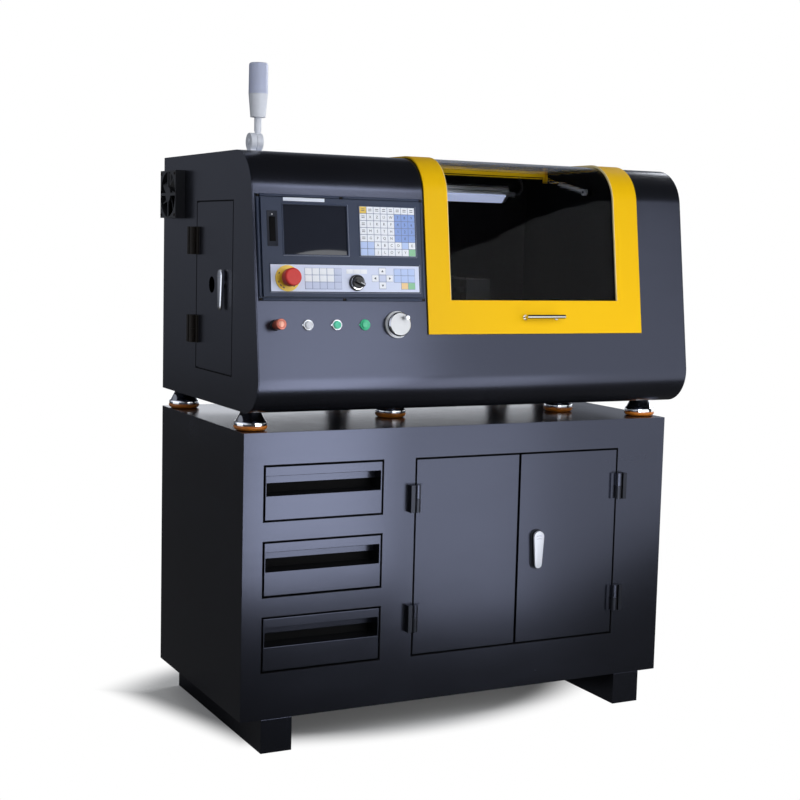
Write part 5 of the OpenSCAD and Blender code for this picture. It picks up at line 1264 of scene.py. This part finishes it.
@dataclass
class Panel:
    """Trim of the controller's bezel: rim bars, screws on dark pads of painted shade, film and screen frames with
    painted highlight strips along their lower and right edges, port, label and knob scale.
    """

    left: float = 8.0
    right: float = 432.0
    high_t: float = 244.0
    rim_gap: float = 9.0
    rim_width: float = 6.2
    rim_inset: float = 0.6
    frame_z: float = 9.9
    # Width of the painted highlight strips on the frames.
    line: float = 1.3
    frames: Sequence[tuple[str, Span, float, float]] = (
        ("screen_frame", (67.5, 102.45, 233.5, 223.45), 3.3, 11.0),
        ("key_film_frame", (259.5, 102.45, 410.5, 224.45), 2.2, 10.7),
        ("operator_film_frame", (32.0, 17.45, 417.5, 86.15), 2.2, 10.7))
    edge_rise: float = 0.3
    rim_z: Pair = (2.9, 6.4)
    screw_size: Pair = (2.6, 1.5)
    screw_inset: Pair = (4.6, 4.0)
    screw_z: float = 3.0
    # Pad of painted shade under each screw.
    pad: Corners = ((-4.2, -3.4, 2.8), (4.2, 2.6, 3.2))
    label: Corners = ((72, 227.6, 9.95), (175, 235.6, 10.4))
    scale_plate: Corners = ((0, 63.2, 10.15), (17.2, 73.4, 10.5))
    scale_xs: Sequence[float] = (224.0, 242.0, 260.0)
    ports: Sequence[tuple[str, Corners, float, float, float, Finish]] = (
        ("data_port", ((30.5, 123.5, 9.8), (56.5, 204.5, 11.2)), 2.8, -1.1, 0.6, Finishes.PORT_BLUE),
        ("data_port_door", ((36, 135, 10), (51, 191, 10.8)), 2.0, 0.4, 0.5, Finishes.BLACK_AND_SHADE))
    indicator_at: Place = (43.5, 196.0, 0.0)
    indicator: Profile = ((0, 12.0), (1.1, 11.8), (1.5, 11.1), (1.5, 10.0))

    def build(self) -> None:
        """Makes all trim of the bezel."""
        self._rim_bars()
        self._screws()
        for name, (a, b, c, d), width, rise in self.frames:
            low, top = (a, b, self.frame_z), rise + self.edge_rise
            self._put(Workshop.ring_frame(name, low, (c, d, rise), width, 0.3), Finishes.SLATE_PAINT)
            # A lighter strip along each frame's lower and right edge is a painted highlight.
            highlight_strips = [Workshop.block("line", low, (c, b + self.line, top), 0.3),
                     Workshop.block("line", (c - self.line, b, self.frame_z), (c, d, top), 0.3)]
            self._put(Workshop.joined(f"{name}_edge", highlight_strips), Finishes.SLATE_EDGE)
        self._port()
        self._put(Workshop.block("bare_label", *self.label, 0.15), Finishes.LABEL)
        plate = Workshop.block("scale", *self.scale_plate, 0.1)
        places = [moved(x, 0, 0) for x in self.scale_xs]
        self._put(Workshop.repeated("knob_scale", plate, places), Finishes.KEY_WHITE)

    @staticmethod
    def _put(piece: Piece, finish: Finish) -> None:
        """Moves a piece from the front's own axes into place and dresses it."""
        Workshop.dress(piece, finish, "base", at=BEZEL)

    def _rim_bars(self) -> None:
        """Makes the raised bars along the rim, with gaps where the screws sit."""
        middle = (self.left + self.right) / 2
        gap, width, inset = self.rim_gap, self.rim_width, self.rim_inset
        spans: list[Span] = []
        for a, b in ((self.left + gap, middle - gap / 2), (middle + gap / 2, self.right - gap)):
            spans += [(a, inset, b, width), (a, self.high_t - width, b, self.high_t - inset)]
        for x in (self.left + inset, self.right - width):
            spans.append((x, gap, x + width - inset, self.high_t - gap))
        under, over = self.rim_z
        bars = [Workshop.block("bar", (a, b, under), (c, d, over), 1.6, 4) for a, b, c, d in spans]
        self._put(Workshop.joined("bezel_rim_bars", bars), Finishes.SLATE_PAINT)

    def _screws(self) -> None:
        """Makes the cross-head screws in the gaps of the rim, on dark pads that paint the shade of deep pockets."""
        master = Fasteners.pan_head("panel_screw", *self.screw_size)
        across, up = self.screw_inset
        xs = (self.left + across, (self.left + self.right) / 2, self.right - across)
        spots = [(x, t) for x in xs for t in (up, self.high_t - up)]
        screws = Workshop.repeated("bezel_screws", master, [moved(x, t, self.screw_z) for x, t in spots])
        self._put(screws, Finishes.DARK_OXIDE)
        # The dark pads paint the shade of deep pockets in the rim's gaps.
        pad = Workshop.block("pad", *self.pad, 0.15)
        pads = Workshop.repeated("bezel_screw_shade_pads", pad, [moved(x, t, 0) for x, t in spots])
        self._put(pads, Finishes.BLACK_AND_SHADE)

    def _port(self) -> None:
        """Makes the data port at the bezel's left: a sunk door with a slot and a small indicator."""
        for name, corners, inset, lift, edge, finish in self.ports:
            piece = Workshop.block(name, *corners)
            Workshop.raise_top(piece, inset, lift)
            Workshop.round_edges(piece, edge)
            self._put(piece, finish)
        dot = Workshop.turned("port_indicator", self.indicator, 24)
        Workshop.dress(dot, Finishes.KEY_WHITE, "base", at=BEZEL @ moved(*self.indicator_at))


class Fasteners:
    """Screws, modelled once and copied."""

    @staticmethod
    def pan_head(name: str, r: float, h: float) -> Piece:
        """Models a domed screw head of a radius and height, with a cross recess, standing on the origin."""
        head = Workshop.turned(name, ((0, h), (0.55 * r, 0.97 * h), (0.85 * r, 0.72 * h), (r, 0.3 * h), (r, 0)), 20)
        for turn in (0.0, math.pi / 2):
            arm = Workshop.block("arm", (-0.5 * r, -0.1 * r, 0.55 * h), (0.5 * r, 0.1 * r, 1.3 * h))
            arm.data.transform(Matrix.Rotation(turn, 4, "Z"))
            Workshop.cut(head, arm)
        Workshop.smooth(head)
        return head

    @staticmethod
    def socket_head(name: str, r: float, h: float) -> Piece:
        """Models a cap screw head of a radius and height, with a hexagon socket, standing on the origin."""
        head = Workshop.turned(name, ((0, h), (0.9 * r, h), (r, 0.9 * h), (r, 0)), 24)
        socket = Workshop.added("socket", bpy.ops.mesh.primitive_cylinder_add, vertices=6, radius=0.55 * r * MM,
                                depth=h * MM, location=mm(0, 0, h))
        Workshop.cut(head, socket)
        Workshop.smooth(head)
        return head


@dataclass
class Controls:
    """Rings, caps, knob and stop collar on the front."""

    button_xs: Sequence[float] = (47.0, 127.0, 199.2, 271.4)
    low_cap: Profile = ((0, 6.6), (3.2, 6.6), (3.5, 6.1), (3.8, 6.6), (6.6, 6.7), (6.9, 6.2), (7.2, 6.7), (8.3, 6.5),
                        (8.85, 5.7), (8.85, 0.5), (0, 0.5))
    wide_head: Profile = ((0, 35.4), (7.4, 35.4), (7.8, 34.9), (8.3, 36), (11, 36), (12.2, 35.2), (12.5, 33.6),
                          (12.5, 14), (11.8, 12.4), (9, 12), (8.85, 0.5), (0, 0.5))
    red_face: Profile = ((0, 36), (6.6, 35.9), (7.1, 35.5), (7.1, 35), (0, 35))
    ring: Profile = ((9.15, 0), (13.0, 0), (13.0, 2.2), (12.6, 3.2), (11.6, 4.0), (10.4, 4.0), (9.15, 3.2), (9.15, 0))
    nib: Corners = ((-16, -3, 0), (-12, 3, 1.8))
    nib_point: float = 0.12
    skirt: Profile = ((0, 0), (18.4, 0), (19.0, 0.8), (18.6, 6.6), (17.6, 8.0), (0, 8.0))
    grip: Profile = ((0, 7.5), (13.4, 7.5), (13.2, 11.6), (12.4, 12.4), (0, 12.4))
    knob_ring: Profile = ((13.5, 7.9), (17.0, 7.9), (16.6, 9.2), (14.2, 10.0), (13.5, 9.6), (13.5, 7.9))
    bar: Corners = ((-5.4, -13.6, 7.5), (5.4, 16.6, 22.0))
    bar_taper: Pair = (0.72, 0.9)
    pointer: Corners = ((-0.7, 2.0, 21.9), (0.7, 13.0, 22.15))
    knob_at: Place = (249.0, 42.0, 10.6)
    knob_turn: float = -115.0
    stop_at: Place = (76.0, 51.0, 12.2)
    collar: Profile = ((11.8, -0.2), (17.5, -0.2), (17.0, 3.0), (15.4, 6.6), (11.8, 6.6), (11.8, -0.2))
    dash: Corners = ((22.4, -2.2, -0.1), (25.0, 2.2, 0.12))
    dash_turns: Sequence[float] = (25, 150, 200, 222, 244, 310)

    def build(self) -> None:
        """Makes the buttons, the knob and the collar."""
        buttons = (("red", Finishes.BLACK_PLASTIC, Finishes.CAP_COPPER, self.wide_head),
                   ("white", Finishes.RING_ZINC, Finishes.CAP_WHITE, self.low_cap),
                   ("green_ringed", Finishes.RING_ZINC, Finishes.CAP_GREEN, self.low_cap),
                   ("green", Finishes.CAP_BRIGHT, Finishes.CAP_BRIGHT, self.low_cap))
        places = [ROW @ moved(x, 0.0, 0.0) for x in self.button_xs]
        for at, (name, ring_finish, cap_finish, profile) in zip(places, buttons):
            Workshop.dress(self._ring(f"button_ring_{name}"), ring_finish, "base", ["button_rings"], at)
            cap = Workshop.turned(f"button_{name}_cap", profile, 48)
            Workshop.dress(cap, cap_finish, f"button_{name}", [f"button_{name}"], at)
        face = Workshop.turned("button_red_face", self.red_face, 48)
        Workshop.dress(face, Finishes.CAP_FACE, "button_red", at=places[0])
        self._knob()
        self._stop_collar()

    def _ring(self, name: str) -> Piece:
        """Models a push button's ring with the pointed nib on its left."""
        ring = Workshop.turned("ring", self.ring)
        nib = Workshop.block("nib", *self.nib)
        middle = sum(v.co.x for v in nib.data.vertices) / len(nib.data.vertices)
        for v in nib.data.vertices:
            if v.co.x < middle:
                v.co.y *= self.nib_point
        Workshop.round_edges(nib, 0.4)
        return Workshop.joined(name, [ring, nib])

    def _knob(self) -> None:
        """Models the override knob: skirt, bright ring and grip bar with a pointer line."""
        at = BEZEL @ moved(*self.knob_at) @ Matrix.Rotation(math.radians(self.knob_turn), 4, "Z")
        skirt = Workshop.turned("knob_skirt", self.skirt)
        bar = Workshop.block("bar", *self.bar)
        middle = sum(v.co.z for v in bar.data.vertices) / len(bar.data.vertices)
        for v in bar.data.vertices:
            if v.co.z > middle:
                v.co.x *= self.bar_taper[0]
                v.co.y *= self.bar_taper[1]
        Workshop.round_edges(bar, 2.4, 4)
        knob = Workshop.joined("override_knob_grip", [skirt, bar, Workshop.turned("grip", self.grip)])
        Workshop.dress(knob, Finishes.BLACK_PLASTIC, "override_knob", ["override_knob"], at)
        ring = Workshop.turned("override_knob_ring", self.knob_ring)
        Workshop.dress(ring, Finishes.CHROME, "override_knob", at=at)
        line = Workshop.block("override_knob_line", *self.pointer, 0.1)
        Workshop.dress(line, Finishes.KEY_WHITE, "override_knob", at=at)

    def _stop_collar(self) -> None:
        """Models the collar around the stop button's stem and the dashes on its plate."""
        at = BEZEL @ moved(*self.stop_at)
        Workshop.dress(Workshop.turned("estop_collar", self.collar, 48), Finishes.STOP_YELLOW, "base", at=at)
        master = Workshop.block("dash", *self.dash, 0.1, 1, 50.0)
        turns = [Matrix.Rotation(math.radians(turn), 4, "Z") for turn in self.dash_turns]
        Workshop.dress(Workshop.repeated("estop_plate_dashes", master, turns), Finishes.LEGEND, "base", at=at)


@dataclass
class Beacon:
    """The signal lamp's hollow lens with its inner core."""

    middle: Pair = (82.5, 150.0)
    base_z: float = 1561.4
    radius: float = 23.0
    height: float = 72.0

    def build(self) -> None:
        """Makes the lens and its core."""
        r, h = self.radius, self.height
        at = Matrix.Translation(spot(*self.middle, self.base_z))
        lens = Workshop.turned("beacon_lens_shell", (
            (r - 3, 0), (r, 0), (r - 0.4, h - 5), (r - 1.6, h - 1.6), (r - 4.5, h), (0, h + 0.4), (0, h - 2.4),
            (r - 5, h - 2.8), (r - 3.4, h - 5), (r - 3, 0)), 72)
        Workshop.dress(lens, Finishes.LENS, "beacon", ["beacon_lens"], at)
        core = Workshop.turned("beacon_core", (
            (0, 0.2), (15, 0.2), (15, 6), (13.5, 8), (13.5, h - 14), (11, h - 10), (0, h - 9)), 48)
        Workshop.dress(core, Finishes.KEY_WHITE, "beacon", at=at)


@dataclass
class Screws:
    """Screws of the casing's back, the fan and the tool blocks."""

    back_y: float = 600.0
    back_xs: Sequence[float] = (15, 310, 605, 890, 1185)
    back_zs: Pair = (838, 1406)
    edge_zs: Pair = (1030, 1215)
    fan_middle: Place = (-25.0, 493.0, 1327.0)
    fan_half: float = 52.0
    block_middle: Place = (706.7, 258.0, 1129.0)
    block_pitch: Pair = (22.0, 78.0)
    pan_size: Pair = (4.0, 2.2)
    cap_size: Pair = (4.5, 4.0)

    def build(self) -> None:
        """Places every group of screws."""
        rim = [(x, self.back_y, z) for x in self.back_xs for z in self.back_zs]
        rim += [(x, self.back_y, z) for x in (self.back_xs[0], self.back_xs[-1]) for z in self.edge_zs]
        (x, y, z), half = self.fan_middle, self.fan_half
        fan = [(x, y + a * half, z + b * half) for a in (-1, 1) for b in (-1, 1)]
        (x, y, z), (across, deep) = self.block_middle, self.block_pitch
        blocks = [(x + i * across, y + k * deep, z) for k in (-1, 0, 1) for i in (-1, 0, 1)]
        for name, head, size, spots, axis, body in (
                ("back_panel_screws", Fasteners.pan_head, self.pan_size, rim, "X", "base"),
                ("fan_screws", Fasteners.pan_head, self.pan_size, fan, "Y", "base"),
                ("tool_block_screws", Fasteners.socket_head, self.cap_size, blocks, "", "cross_slide")):
            turn = Matrix.Rotation(math.radians(-90), 4, axis) if axis else Matrix()
            places = [Matrix.Translation(spot(*p)) @ turn for p in spots]
            screws = Workshop.repeated(name, head("screw", *size), places)
            Workshop.dress(screws, Finishes.DARK_OXIDE, body)


def main() -> None:
    """Builds the studio, the cable and every sub-assembly in order."""
    logging.basicConfig(level=logging.INFO, format="%(name)s: %(message)s")
    for part in (Studio(), LampCable(), SolidFinishes(), Feet(), LockLevers(), OpeningGapShade(), WindowEdgeHighlight(), Keyboard(),
                 Panel(), Controls(), Beacon(), Screws()):
        part.build()


if __name__ == "__main__":
    main()
